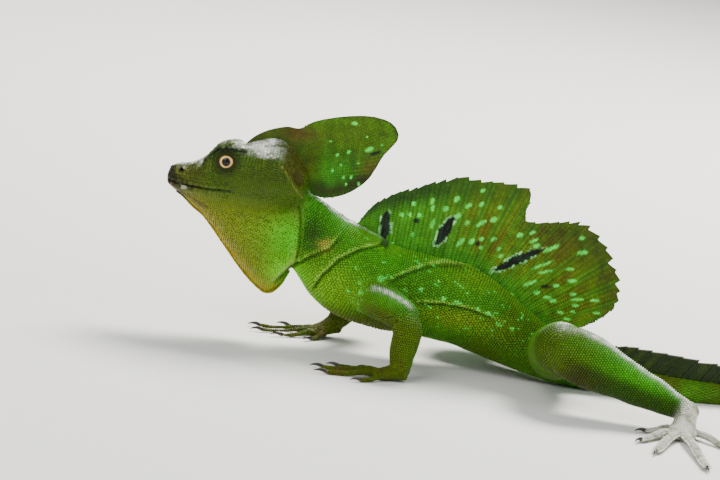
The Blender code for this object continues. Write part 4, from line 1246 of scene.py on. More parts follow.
def in_tile(u, v, tile):
    """Places (u, v), each from 0 to 1, in a tile (left, bottom, width, height) of the chart."""
    left, bottom, width, height = tile
    return np.column_stack([left + width * (0.02 + 0.96 * u), bottom + height * (0.02 + 0.96 * v)])


def strip(count, level, tile):
    """Places in one straight row across a tile."""
    return in_tile(np.linspace(0, 1, count), np.full(count, level), tile)


def even_steps(centres, step, *values):
    """A path and its values at equal steps of its length."""
    length = running(np.linalg.norm(np.diff(centres, axis=0), axis=1))
    at = np.arange(step / 2, length[-1], step)
    path = np.column_stack([np.interp(at, length, centres[:, n]) for n in range(3)])
    return path, unit(np.gradient(path, axis=0)), *(np.interp(at, length, value) for value in values)


def trunk_roots(pitch):
    centres, half_height, half_width = spine_rows(400)
    rows = even_steps(centres, pitch * RING_STEP, half_height, half_width)
    return tube_roots(*rows, pitch, RELIEF * pitch, (0, 0, 1, 1), TRUNK_POWER)


def leg_roots(parts, pitch):
    """Roots on both lengths of the fore or hind legs, each in its own quarter of the chart."""
    sets = []
    for number, name in enumerate(part + side for side in SIDES for part in parts):
        centres, radius = leg_line(name, 60)
        path, along, radius = even_steps(centres, pitch * RING_STEP, radius)
        tile = (0.5 * (number % 2), 0.5 * (number // 2), 0.5, 0.5)
        sets.append(tube_roots(path, along, radius, radius, pitch, RELIEF * pitch, tile))
    return together(sets)


def tail_roots():
    """Tail scales are longer and keeled, and grow smaller with the tail."""
    middle, along, half_height, half_width = tail_line(np.linspace(0, 1, 900))
    step = 1.7
    path, _, half_height, half_width = even_steps(middle, step, half_height, half_width)
    share = (np.arange(len(path)) * step / TAIL_LENGTH).clip(0, 1)
    along = tail_line(share)[1]
    pitch = np.interp(share, (0, 0.1, 0.5, 1), (1.25, 1.25, 1.1, 0.75))
    ring, turn = ring_places(girth(half_height, half_width) / pitch, 1)
    place = around(path[ring], along[ring], half_height[ring], half_width[ring], TURN * turn)
    size = columns(step * 1.15, pitch[ring], RELIEF * pitch[ring])
    return Roots(place, along[ring], size, in_tile(share[ring], turn, (0, 0, 1, 1)))


def head_roots(pitch):
    """Small scales all round the head and its sides, set out in rings from snout to nape."""
    x = np.arange(HEAD[0][0] + 0.5, HEAD[-1][0], pitch * RING_STEP)
    top, bottom, width, _ = curves(HEAD, x)
    ring, turn = ring_places(girth((top - bottom) / 2, width), pitch)
    place = head_at(x[ring], TURN * turn)
    size = (pitch * 1.1, pitch, RELIEF * pitch)
    return Roots(place, (1, 0, 0), size, in_tile(ring / len(x), turn, (0, 0, 0.6, 1)))


def throat_roots(pitch):
    x = np.arange(THROAT[0][0] + 0.5, THROAT[-1][0], pitch * RING_STEP)
    lowest, width = curves(THROAT, x)
    ring, turn = ring_places(2 * np.hypot(THROAT_TOP - lowest, width) * 1.05, pitch)
    place = throat_at(x[ring], 2 * turn)
    size = (pitch * 1.05, pitch, RELIEF * pitch)
    return Roots(place, (0.8, 0, -0.6), size, in_tile(ring / len(x), turn, (0.6, 0, 0.4, 1)))


def head_turn(x, offset):
    """Turn on the right of the head where its surface lies at an offset above the mouth line."""
    turn = np.linspace(-0.49, 0.49, 500) * math.pi
    level = curve(HEAD, x)[:, 3]
    high = head_at(*np.broadcast_arrays(x[:, None], turn[None]))[..., 2] - level[:, None]
    return turn[np.argmin(np.abs(high - offset), axis=1)]


def head_chart(x, turn):
    return in_tile((x - HEAD[0][0]) / HEAD_LENGTH, (turn / TURN) % 1, (0, 0, 0.6, 1))


# Rows of large scales along the lips: offset from the mouth line, mean length, width, how far back
LIP_ROWS = (
    (1.25, 2.1, 1.9, -57.5), (-1.25, 2.1, 1.9, -57.5), (2.9, 1.7, 1.4, -61), (-2.8, 1.7, 1.5, -60),
    (4.2, 1.35, 1.2, -66),
)
LIP_FRONT = -86
LIP_CROWDING = 1.45     # how much shorter the scales grow backwards


def shield_roots():
    """Large scales of the head: rows along both lips that grow smaller backwards, over the snout,
    brows and crown."""
    sets = []
    for offset, length, width, last in LIP_ROWS:
        run = last - LIP_FRONT
        share = np.linspace(0.02, 0.98, int(run / (RING_STEP * length)))
        x = LIP_FRONT + run * (1 - (1 - share) ** LIP_CROWDING)
        step = np.gradient(x) * 1.04
        turn = head_turn(x, offset)
        for angle in (turn, math.pi - turn):
            size = columns(step, width * (step / step[0]).clip(0.4, 1), 0.34)
            sets.append(Roots(head_at(x, angle), (1, 0, 0), size, head_chart(x, angle)))
    x = np.arange(-86.6, -37.5, 1.42)
    _, _, width, _ = curves(HEAD, x)
    ring, turn = ring_places(width * 3.1, 1.55)
    denser = 1 + 0.3 * np.cos(TURN * (turn - 0.5))
    turn = turn + 0.048 * np.sin(TURN * (turn - 0.5))
    angle = TURN * (0.118 + 0.264 * turn)
    place = head_at(x[ring], angle)
    larger = np.interp(x[ring], (-86, -72, -44, -37.5), (0.8, 1, 1, 0.7))
    size = np.array((1.72, 1.66, 0.46)) * (0.55 + 0.38 * denser * larger)[:, None]
    edge = np.minimum(turn, 1 - turn) - 0.09 * (1 + waves(place, 7, 61))
    sets.append(Roots(place, (1, 0, 0), size, head_chart(x[ring], angle)).where(edge > 0))
    shields = together(sets)
    lid = np.hypot(shields.place[:, 0] - EYE_CENTRE[0], shields.place[:, 2] - EYE_CENTRE[2])
    return shields.where((lid > 6.3) | (np.abs(shields.place[:, 1]) < 4))


def spine_roots():
    """Pointed scales that stand out: along the throat's keel and over the nape."""
    x = np.arange(-83, -28.5, 1)
    lowest, _ = curves(THROAT, x)
    keel, along = even_steps(np.column_stack([x, 0 * x, lowest]), 1.25)
    out = unit(np.cross(along, (0, 1, 0)))
    sets = []
    for side in (-1, 0, 1):
        lean = unit(out + np.array((0, 0.8 * side, 0)))
        place = keel + lean * (0.15 - 0.5 * abs(side)) + np.array((0, 0.55 * side, 0))
        size = (1.35, 1.1, 0.75 - 0.25 * abs(side))
        chart = strip(len(keel), 0.5 + 0.2 * side, (0, 0, 0.5, 0.5))
        sets.append(Roots(place, along, size, chart, lean))
    line = np.array(((-29, 0, 67.6), (-22, 0, 65), (-12, 0, 60.2), (-2, 0, 56)))
    path, along = even_steps(line, 1.5)
    out = unit(np.cross((0, 1, 0), along))
    out *= np.sign(out[:, 2:])
    for row in range(-3, 4):
        lean = unit(out + np.array((0, 0.36 * row, 0)))
        place = path - out * 0.42 * row * row * 0.42 + np.array((0, 1.35 * row, 0))
        place = place + along * 0.7 * (row % 2)
        size = (2 - 0.16 * abs(row), 1.3, 1.5 - 0.28 * abs(row))
        chart = strip(len(path), 0.5 + 0.12 * row, (0.5, 0, 0.5, 0.5))
        sets.append(Roots(place, along, size, chart, lean))
    return together(sets)


def fringe_roots():
    """Flat pointed scales along both sides of every toe."""
    sets = []
    for number, name in enumerate(("foot_left", "foot_right")):
        for toe, (line, radius, _) in enumerate(digit_lines(name, 80)):
            path, along, radius = even_steps(line, 1.25, radius)
            for side in (-1, 1):
                out = unit(np.cross(along, UP)) * side
                place = path + out * (radius * 0.86)[:, None]
                chart = strip(len(path), (toe + 0.3 + 0.2 * side) / 5, (0.5 * number, 0.5, 0.5, 0.5))
                sets.append(Roots(place, out + 0.45 * along, (1.5, 1.15, 0.32), chart))
    return together(sets)


def lid_roots():
    """The smallest scales, in rings round each eye's opening."""
    sets = []
    for side, tile in ((-1, (0, 0, 0.3, 0.5)), (1, (0.3, 0, 0.3, 0.5))):
        radius = np.array((3.6, 4.15, 4.75, 5.4, 6.05, 6.7))
        ring, turn = ring_places(TURN * radius, 0.74)
        angle, reach = TURN * turn, radius[ring]
        out = side * np.sqrt(((EYE_RADIUS + 0.95) ** 2 - (reach * 0.82) ** 2).clip(0))
        place = eye_middle(side) + upright(angle, 1.06) * reach[:, None] + columns(0, out, 0)
        along = columns(-np.sin(angle), 0, np.cos(angle))
        size = columns(0.80, 0.64, 0.36 - 0.1 * (ring % 2))
        sets.append(Roots(place, along, size, in_tile(ring / 6, turn, tile)))
    return together(sets)


def paw_roots(pitch):
    """Rings of fine scales round palms, soles, fingers and toes."""
    sets = []
    for name, (left, bottom) in zip(PAWS, ((0, 0), (0.5, 0), (0, 0.5), (0.5, 0.5))):
        centres, half_height, half_width = palm_line(name, 60)
        path, along, high, wide = even_steps(centres, pitch * RING_STEP, half_height, half_width)
        sets.append(tube_roots(path, along, high, wide, pitch, 0.3 * pitch, (left, bottom, 0.25, 0.5)))
        for number, (line, radius, _) in enumerate(digit_lines(name, 80)):
            path, along, radius = even_steps(line, pitch * 0.95, radius)
            tile = (left + 0.25, bottom + 0.1 * number, 0.25, 0.1)
            sets.append(tube_roots(path, along, radius, radius, pitch * 0.92, 0.3 * pitch, tile))
    return together(sets)


def filler_roots(skin, taken, pitch, low, high, seed):
    """Roots for what the rings leave bare: seeded random places on the skin, between two corners,
    thinned to one for each small cube and kept clear of those taken."""
    mesh = skin.data
    mesh.calc_loop_triangles()
    a, b, c = own_points(mesh)[numbers(mesh.loop_triangles, "vertices", 3).T]
    inside = np.all((a > low) & (a < high), axis=1)
    a, b, c = a[inside], b[inside], c[inside]
    area = np.linalg.norm(np.cross(b - a, c - a), axis=1) / 2
    draw = np.random.default_rng(seed)
    count = int(area.sum() / pitch**2 * FILL_TRIES)
    chosen = draw.choice(len(area), count, p=area / area.sum())
    u, v = draw.uniform(size=(2, count))
    flip = u + v > 1
    u, v = np.where(flip, 1 - u, u), np.where(flip, 1 - v, v)
    place = a[chosen] + u[:, None] * (b - a)[chosen] + v[:, None] * (c - a)[chosen]
    place = place[clear_of(place, taken, pitch * RING_GAP)]
    place = place[first_in_cell(place, pitch * FILL_GAP)]
    turn = np.arctan2(place[:, 2] - 30, place[:, 1]) / math.pi
    chart = in_tile((place[:, 0] - low[0]) / (high[0] - low[0]), (turn + 1) / 2, (0, 0, 1, 1))
    return Roots(place, (1, 0, 0), (pitch, pitch, 0.32 * pitch), chart)


def bare(p):
    """True where no scale grows: between the lids, in the nostrils and on the eardrums."""
    lids = ellipse(p, EYE_CENTRE[0], EYE_CENTRE[2], LID_OPENING[0] + 0.3, LID_OPENING[1] + 0.3)
    between_lids = (lids < 1) & (np.abs(p[:, 1]) > 6)
    return between_lids | (nostril_distance(p, 1.3) < 0.95) | (eardrum(p) < 1.02)


def eardrum(p):
    """Distance from the middle of the eardrum as a share of its radius."""
    return ellipse(p, *EARDRUM) + 9 * (np.abs(p[..., 1]) < 4)


# Where seeded scales fill what the rings leave bare: low corner, high corner, seed
HEAD_FILL = ((-90, -30, 56), (-25, 30, 110), 5)
THROAT_FILL = ((-90, -30, 18), (-25, 30, 62), 7)
TRUNK_FILL = ((-40, -22, 4), (108, 22, 70), 6)


def coat(skin, name, roots, shape, material, pitch, reach=1.6, fill=None, avoid=None):
    """One coat piece: roots brought to the skin, doubles dropped, bare places filled."""
    roots = on_skin(roots, skin, reach)
    roots = roots.where(first_in_cell(roots.place, pitch * OWN_GAP))
    taken = roots.place
    if avoid is not None:
        roots = roots.where(clear_of(roots.place, avoid, pitch * COAT_GAP))
        taken = np.vstack([roots.place, avoid])
    if fill is not None:
        extra = on_skin(filler_roots(skin, taken, pitch, *fill), skin, 1)
        roots = together([roots, extra])
    roots = roots.where(~bare(roots.place))
    add_coat(name, roots, shape, material)
    return roots.place


def finished(piece, slot, *nodes):
    """Ties a piece to the one body and hides the solids that it stands for. The slot is not used."""
    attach(piece, BODY)
    if nodes:
        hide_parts(*nodes)


def add_coat(name, roots, shape, material, slot="green_skin", colour=None):
    finished(scale_mesh(name, roots, shape, material, colour), slot)


# Crests


# Half thickness of a fin at its root, how much of it is lost towards the edge, what is added
# all over and at the very root; width of a ray as a share of the way to the next
FIN_HALF, FIN_THINNING, FIN_EDGE, ROOT_SWELL = 0.78, 0.50, 0.05, 1.1
RAY_WIDTH = 0.12
SAIL_STRETCH = 0.028    # the sail's table runs through the notches between its teeth


def fin_surface(name, u, v):
    """A fin's middle sheet at u along its row of rays and v out along them, its normal, its half
    thickness and the length of the ray there. Rays stand out as a rounded ridge, and the edge
    falls back between them to a small tooth."""
    if name == "tail_crest":
        share, height, lean = curve(
            np.column_stack([np.linspace(0, 1, len(TAIL_CREST)), TAIL_CREST]), u.ravel()
        ).T
        middle, along, half_height, _ = tail_line(share)
        tilt = np.radians(lean)[:, None]
        slope = along * np.sin(tilt) + np.cos(tilt) * UP
        root = middle + (half_height - ROOT_DEPTH)[:, None] * UP
        tip = root + slope * ((height + ROOT_DEPTH) / np.cos(tilt[:, 0]))[:, None]
        normal = np.cross(along, UP)
    else:
        table = np.asarray(HEAD_CREST if name == "head_crest" else SAIL)
        rows = curve(np.column_stack([np.linspace(0, 1, len(table)), table]), u.ravel())
        root, tip = columns(rows[:, 0], 0, rows[:, 1]), columns(rows[:, 2], 0, rows[:, 3])
        normal = np.broadcast_to((0, 1, 0), root.shape)
    root, tip, normal = (each.reshape(*u.shape, 3) for each in (root, tip, normal))
    between = (u * (FIN_RAYS[name] - 1)) % 1
    ray = bell(np.minimum(between, 1 - between), 0, RAY_WIDTH)
    reach = v * (1 - fin_tooth(name, u) + (SAIL_STRETCH if name == "sail" else 0))
    sheet = root + (tip - root) * reach[..., None]
    stiff = {"head_crest": 0.15, "sail": 0.5, "tail_crest": 0.5}[name]
    half = (FIN_HALF - FIN_THINNING * v) * (1 - stiff + stiff * ray) + FIN_EDGE
    half = half + ROOT_SWELL * np.exp(-v / 0.05)
    return sheet, unit(normal), half, between


def fin_tooth(name, u):
    """How far the edge falls back, as a share of the ray: a saw of small, uneven teeth."""
    draw = np.random.default_rng(FIN_RAYS[name])
    amount, each = {"head_crest": (0.006, 3), "sail": (0.05, 2), "tail_crest": (0.11, 1)}[name]
    teeth = (FIN_RAYS[name] - 1) * each
    depth = draw.uniform(0.35, 1, teeth + 2)
    at = u * teeth
    number = np.floor(at).astype(int)
    within = at - number
    deeper = 1 + 0.7 * step_up(u, 0.55, 0.75) * (name == "sail")
    return amount * deeper * depth[number] * (1 - within) ** 0.7 + 0.002


# Black bars and dots and turquoise marks on the sail: x, z, half length, half width, angle
SAIL_BARS = ((10.2, 58.3, 6.6, 2.1, 94), (36.2, 60.2, 7.4, 2.2, 68), (70.1, 52.7, 12.4, 1.7, 33))
SAIL_DOTS = ((23, 62.7, 1.4, 1.1, 0), (51.2, 56.9, 1.2, 1, 0), (83.8, 42.7, 2, 0.9, 10))
SAIL_MARKS = (
    (20.9, 70, 1.1, 0.8, 80), (28.8, 72.3, 1.5, 0.8, 78), (29.3, 69.3, 1.3, 0.8, 75),
    (39.2, 75, 1.6, 1, 60), (44.6, 72.8, 1.6, 0.8, 50), (50.2, 74.4, 1.4, 0.8, 48),
    (49.9, 80.6, 1.2, 0.8, 45), (19.9, 65, 0.9, 0.7, 85), (24, 65.3, 1.1, 0.8, 80),
    (22.6, 56.4, 1.3, 0.6, 85), (41, 67.7, 1.4, 0.9, 60), (45.3, 65.3, 1.3, 0.7, 55),
    (56.6, 68.5, 1.5, 1.1, 45), (58.4, 74.3, 1.1, 0.7, 45), (57.9, 60, 1.4, 0.8, 42),
    (48.7, 57.5, 1.6, 1, 50), (52.6, 59.2, 1, 0.8, 50), (53, 55.4, 0.8, 0.7, 40),
    (60.9, 56, 1.1, 0.6, 40), (62.4, 53.1, 1.2, 0.7, 35), (68.9, 63.5, 1.5, 0.9, 36),
    (74.4, 65.5, 1.5, 0.7, 33), (63.5, 39.5, 1, 0.7, 20), (69.4, 36.6, 1, 0.8, 20),
    (77, 60, 1.6, 0.9, 33), (92.9, 52, 2, 0.6, 12), (97.4, 60.2, 2.2, 0.8, 18),
    (96.1, 66.5, 1.3, 0.8, 20), (88.4, 43.8, 1.5, 0.8, 12), (80.5, 39.4, 1.5, 0.9, 15),
    (85.2, 38.1, 1.8, 0.6, 8), (88.1, 36.9, 1.6, 0.8, 8), (95, 47, 2.1, 0.8, 8),
    (96.3, 41.3, 1.7, 0.7, 5), (98.1, 36.4, 1.8, 0.6, 3), (92.2, 32.3, 1.5, 0.6, 0),
    (97.5, 33.5, 1.2, 0.5, 0), (107.9, 34.5, 1.8, 0.5, 0), (95.7, 29.8, 1.8, 0.5, 0),
    (30.4, 62.5, 2.3, 0.7, 80), (51.5, 66.1, 2.6, 0.8, 40), (43.6, 56.2, 2.5, 0.9, 55),
    (75.5, 62, 2.1, 0.6, 33), (83.5, 59.8, 3.8, 0.8, 33), (81, 52, 5, 0.5, 30),
    (83, 49.3, 3.6, 0.5, 22), (77.1, 43.2, 3.2, 0.7, 31), (98.4, 39.2, 3, 0.5, 9),
    (106.1, 39.9, 2, 0.5, 9), (35, 69.9, 1.4, 1, 60), (16.4, 64.3, 0.9, 0.7, 85),
    (14.2, 51, 0.9, 0.6, 60),
)
# Turquoise spots on the head's crest, in the same way
CREST_SPOTS = (
    (-10.3, 101, 1.5, 0.7, 5), (-2.2, 90.7, 1.9, 0.8, 28), (-10.9, 88.2, 0.9, 0.7, 60),
    (-15.6, 86.1, 0.9, 0.6, 60), (-16.7, 78.8, 0.7, 0.5, 60), (-8.2, 77.4, 0.9, 0.6, 80),
    (-11.4, 76.6, 0.6, 0.5, 80), (-9.9, 73.9, 0.7, 0.4, 80), (-4.5, 74.8, 0.7, 0.5, 80),
    (-19.5, 91.5, 0.5, 0.4, 0), (-6, 84, 0.5, 0.4, 0), (3, 93.5, 0.6, 0.4, 30),
    (-13.5, 82, 0.5, 0.4, 0), (-4, 96, 0.5, 0.4, 80),
)


def fin_colour(name, p, v, between):
    """Colour of a fin: green on the rays and olive or brown between them, a dark edge, and marks."""
    broad, fine = waves(p * (1, 0.3, 1), 30, 51), waves(p, 6, 52)
    x, z = p[..., 0], p[..., 2]
    streak = 0.5 - 0.5 * np.cos(TURN * between)
    colour = np.zeros((*v.shape, 3)) + LEAF
    if name == "sail":
        rear = step_up(x, 22, 60)
        olive = (0.17, 0.22, 0.004)
        brown = step_up(waves(p * (0.5, 0.3, 0.8), 20, 53), -0.3, 0.8) * streak * rear
        back = step_up(x, 68, 84) * bell(z, 64, 13)
        ray = bell(between, 0, 0.07) + bell(between, 1, 0.07)
        dark = step_up(v, 0.62, 0.92) * (1 - 0.45 * rear)
        low = blob((x - 84) / 1.6, z - 37, 9)
        colour = painted(colour, (
            (BRIGHT, 0.15 + 0.3 * step_up(broad, -0.4, 0.7)),
            (olive, (0.4 + 0.6 * streak) * (0.13 + 0.6 * rear) * step_up(v, 0.08, 0.3)),
            ((0.12, 0.10, 0.003), 0.8 * brown * step_up(v, 0.1, 0.35)),
            ((0.095, 0.095, 0.002), 0.75 * back),
            (DARK_OLIVE, ray * (0.18 + 0.3 * rear * step_up(v, 0.2, 0.7))),
            ((0.018, 0.062, 0.003), 0.9 * dark),
            ((0.075, 0.24, 0.003), 0.6 * low),
        ))
        colour = 0.88 * colour
        edges = np.array(SAIL_BARS) + (0, 0, 0.7, 0.7, 0)
        ragged = p + 0.45 * np.stack([waves(p, 4, 55), np.zeros(v.shape), waves(p, 3, 56)], axis=-1)
        pale = spots(ragged, edges, 0.12) * step_up(waves(p, 4.2, 54), -0.25, 0.15)
        colour = painted(colour, (
            (mixed(np.asarray(TURQUOISE), WHITE, 0.3), 0.95 * pale),
            (TURQUOISE, 0.97 * spots(p, SAIL_MARKS, 0.2)),
            (BLACK, 0.98 * spots(ragged, SAIL_BARS, 0.10)),
            (BLACK, 0.9 * spots(p, SAIL_DOTS, 0.2)),
        ))
    elif name == "head_crest":
        low_front = step_up(-x, 30, 36)
        notch = bell(x, -33, 7) * bell(z, 93, 4)
        lower = bell(z - np.interp(x, (-28, -16, -2), (70.5, 69.5, 77)), 0, 3.9)
        behind = bell(x, -27, 5) * bell(z, 80, 9)
        colour = painted(colour, (
            (OLIVE, 0.45 * step_up(broad, -0.5, 0.6)),
            ((0.11, 0.21, 0.002), 0.6 * step_up(z, 86, 94)),
            ((0.062, 0.085, 0.002), 0.8 * low_front),
            ((0.12, 0.05, 0.006), 0.75 * notch),
            ((0.16, 0.09, 0.008), 0.75 * bell(x, 1, 6.5) * bell(z, 82.5, 6)),
            ((0.030, 0.034, 0.003), 0.95 * lower * step_up(x, -27, -22)),
            (BRIGHT, 0.6 * bell(x, -19, 7) * bell(z, 79, 6)),
            (BROWN, 0.55 * behind),
        ))
        colour = 0.74 * mixed(colour, DARK_OLIVE, 0.85 * step_up(v, 0.965, 1))
        colour = painted(colour, (
            (TURQUOISE, 0.97 * spots(p, CREST_SPOTS, 0.25)),
            (BLACK, 0.95 * spots(p, ((0.6, 89.4, 2.6, 0.8, 28),), 0.2)),
        ))
    else:
        colour = painted(colour, (
            ((0.009, 0.012, 0.001), 0.93),
            (OLIVE, 0.22 * streak * step_up(broad, -0.6, 0.6)),
            (BLACK, 0.6 * bell(between, 0, 0.09) + 0.6 * bell(between, 1, 0.09)),
            (ASH, 0.30 * step_up(v, 0.94, 1)),
        ))
    return colour * (1 + 0.12 * fine)[..., None].clip(0.6, 1.4)


def fin_mesh(name, rays, rows):
    """Both faces of a fin, meeting at its edge and closed below."""
    u, v = np.meshgrid(np.linspace(0, 1, rays), np.linspace(0, 1, rows), indexing="ij")
    sheet, normal, half, between = fin_surface(name, u, v)
    cell = 0.05 * np.sin(TURN * v * rows / 4) * np.sin(math.pi * u * (FIN_RAYS[name] - 1) * 3) ** 2
    out = normal * (half + cell)[..., None]
    points = [sheet + out, sheet - out]
    tint = [fin_colour(name, each, v, between).reshape(-1, 3) for each in points]
    points = np.concatenate([each.reshape(-1, 3) for each in points])
    count = rays * rows
    right = grid_faces(rays, rows)
    left = right[:, (0, 3, 2, 1)]
    border = np.concatenate([
        np.arange(rays) * rows,
        (rays - 1) * rows + np.arange(1, rows),
        np.arange(rays - 2, -1, -1) * rows + rows - 1,
        np.arange(rows - 2, 0, -1),
    ])
    after = np.roll(border, -1)
    edge = np.column_stack([border, border + count, after + count, after])
    return *outward(points, [left, right + count, edge]), np.concatenate(tint)


def fin_scales(name, rows_between, pitch, material, slot):
    """Scales on both faces of a fin, in rows that run out along the rays. Where the rows crowd
    together towards their roots, every other row stops and its neighbours grow wider."""
    lines = (FIN_RAYS[name] - 1) * rows_between
    u = (np.arange(lines) + 0.5) / lines
    root, tip = (fin_surface(name, u, np.full(lines, end))[0] for end in (0, 1))
    length = np.linalg.norm(tip - root, axis=1)
    count = np.maximum((length / pitch).astype(int), 2)
    line, within = numbered(count)
    v = (within + 0.35 + 0.5 * (line % 2)) / (count[line] + 0.6)
    v = v * (1 - 0.55 * pitch / length[line])
    sheet, normal, half, between = fin_surface(name, u[line], v)
    beside = fin_surface(name, u[line] + 1 / lines, v)[0]
    width = np.linalg.norm(beside - sheet, axis=1)
    crowded = width < 0.55 * pitch
    keep = ~crowded | (line % 2 == 0)
    width = np.where(crowded, 2 * width, width).clip(0.3, 1.5 * pitch)
    sets = []
    for side, left in ((-1, 0), (1, 0.5)):
        size = columns(pitch * 1.1, width * 1.05, 0.12 + 0.12 * (1 - v))
        place = sheet + side * normal * half[:, None]
        chart = in_tile(u[line], v, (left, 0, 0.5, 1))
        sets.append(Roots(place, unit(tip - root)[line], size, chart, side * normal).where(keep))
    v, between = (np.tile(each[keep], 2)[:, None] for each in (v, between))

    def colour(points):
        return fin_colour(name, points, *np.broadcast_arrays(v, between, points[..., 0])[:2])

    add_coat(name + "_scales", together(sets), plate_scale(), material, slot, colour)


# Operators


class BasiliskSettings(bpy.types.PropertyGroup):
    """Sizes and colours that a user would change"""

    skin_grid: FloatProperty(
        name="Skin grid", description="Cell size of the skin's surface", default=0.0005, unit="LENGTH"
    )
    skin_triangles: IntProperty(
        name="Skin triangles", description="Most triangles that the skin keeps", default=176000,
        subtype="UNSIGNED"
    )
    body_scale: FloatProperty(
        name="Body scale", description="Size of a scale on trunk and legs", default=0.00118,
        unit="LENGTH"
    )
    face_scale: FloatProperty(
        name="Face scale", description="Size of a scale on the face", default=0.00095, unit="LENGTH"
    )
    paw_scale: FloatProperty(
        name="Paw scale", description="Size of a scale on hands and feet", default=0.0009, unit="LENGTH"
    )
    iris: FloatVectorProperty(
        name="Iris", description="Colour of the iris", default=(0.90, 0.60, 0.20), subtype="COLOR"
    )
    claw: FloatVectorProperty(
        name="Claw", description="Colour of the claws", default=(0.022, 0.014, 0.009), subtype="COLOR"
    )
    floor: FloatVectorProperty(
        name="Floor", description="Colour of the floor", default=(0.78, 0.77, 0.74), subtype="COLOR"
    )


class BASILISK_OT_skin(bpy.types.Operator):
    """Build the one skin that covers head, body, legs, paws and tail"""

    bl_idname = "basilisk.skin"
    bl_label = "Skin"

    def execute(self, context):
        settings = context.scene.basilisk
        trunk = new_object("trunk", *merged([trunk_mesh(), *(leg_mesh(name) for name in LEG_JOINTS)]))
        changed(trunk, "REMESH", mode="VOXEL", voxel_size=TRUNK_GRID)
        changed(trunk, "SMOOTH", factor=0.5, iterations=TRUNK_SMOOTHING)
        parts = [(own_points(trunk.data), [numbers(trunk.data.loops, "vertex_index").reshape(-1, 4)])]
        bpy.data.objects.remove(trunk)
        parts += [head_mesh(), throat_mesh(), tail_mesh()]
        parts += [ball_mesh(eye_middle(side), EYE_RADIUS + LID_GAP + LID_THICKNESS) for side in (-1, 1)]
        for name in PAWS:
            parts.append(ring_mesh(tube(*palm_line(name), 36)))
            for line, radius, _ in digit_lines(name):
                parts.append(ring_mesh(tube(line, radius, radius, 18)))
        skin = new_object("skin", *merged(parts))
        changed(skin, "REMESH", mode="VOXEL", voxel_size=settings.skin_grid)
        changed(skin, "SMOOTH", factor=0.5, iterations=2)
        shape_skin(skin.data)
        triangles = len(skin.data.loops) - 2 * len(skin.data.polygons)
        changed(skin, "DECIMATE", ratio=min(1, settings.skin_triangles / triangles))
        open_eyes(skin)
        skin.data.shade_smooth()
        set_tint(skin.data, body_colour(own_points(skin.data)) * SKIN_SHADE)
        skin.data.materials.clear()
        skin.data.materials.append(skin_material("skin", amount=0.5, grain=1500, gloss=0.55))
        finished(skin, "green_skin", *FLESH)
        return {"FINISHED"}


def shape_skin(mesh):
    """Draws the skin in by the coat's depth and by its folds, presses it flat on the floor and
    smooths where the head, throat and neck meet."""
    points = own_points(mesh)
    a, b = numbers(mesh.edges, "vertices", 2).T
    count = np.bincount(a, minlength=len(points)) + np.bincount(b, minlength=len(points))
    x, z = points[:, 0], points[:, 2]
    seam = bell(x, -29, 7) * (z < 78)
    jaw = bell(z, 57, 4) * step_up(-x, 30, 36) * step_down(-x, 76, 84)
    weight = 0.8 * np.maximum(seam, 0.8 * jaw)[:, None]
    for _ in range(SEAM_SMOOTHING):
        total = np.column_stack([
            np.bincount(a, points[b, n], len(points)) + np.bincount(b, points[a, n], len(points))
            for n in range(3)
        ])
        points = points + weight * (total / count[:, None] - points)
    set_points(mesh, points)
    mesh.update()
    normal = numbers(mesh.vertex_normals, "vector", 3, np.float32)
    points = points - normal * (COAT_DEPTH + fold_depth(points))[:, None]
    points[:, 2] = points[:, 2].clip(SKIN_LIFT)
    set_points(mesh, points)
    mesh.update()


def open_eyes(skin):
    """Cuts the socket and the opening between the lids on each side."""
    group = bpy.data.collections.new("openings")
    bpy.context.scene.collection.children.link(group)
    for side in (-1, 1):
        centre = eye_middle(side)
        socket = new_object("socket", *ball_mesh(centre, EYE_RADIUS + SOCKET_GAP))
        path = centre + columns(0, side * np.array((2, 14)), 0)
        edge = upright(full_turn(64), *LID_OPENING)
        opening = new_object("opening", *ring_mesh(path[:, None] + edge))
        for cutter in (socket, opening):
            bpy.context.scene.collection.objects.unlink(cutter)
            group.objects.link(cutter)
    changed(skin, "BOOLEAN", operation="DIFFERENCE", solver="MANIFOLD", operand_type="COLLECTION",
            collection=group)
    for cutter in list(group.objects):
        bpy.data.objects.remove(cutter)
    bpy.data.collections.remove(group)


class BASILISK_OT_eyes(bpy.types.Operator):
    """Build the eyeballs and the rims of the lids"""

    bl_idname = "basilisk.eyes"
    bl_label = "Eyes"

    def execute(self, context):
        eye_finish, *_ = new_material("eyeball", 0.4, {
            "Roughness": 0.35, "Specular IOR Level": 0.1, "Coat Weight": 0.3, "Coat Roughness": 0.02,
        })
        lid_finish = skin_material("lid", amount=0.4, grain=3000, gloss=0.4)
        for name, side in (("left", -1), ("right", 1)):
            centre = eye_middle(side)
            points, faces = ball_mesh(centre, EYE_RADIUS, 96, 96)
            x, y, z = (points - centre).T
            away, front = np.hypot(x, z), y * side > 0
            tint = eye_colour(away, np.arctan2(z, x), context.scene.basilisk.iris)
            tint[~front] = (0.10, 0.06, 0.03)
            points[:, 1] += side * front * 0.45 * bell(away, 0, 2.4)
            ball = new_object("eyeball_" + name, points, faces, eye_finish, tint)
            finished(ball, "eye", "eye_" + name)
            points, faces = lid_rim(centre, side)
            tint = np.zeros(points.shape) + (0.030, 0.018, 0.006)
            rim = new_object("lid_rim_" + name, points, faces, lid_finish, tint)
            finished(rim, "green_skin")
        return {"FINISHED"}


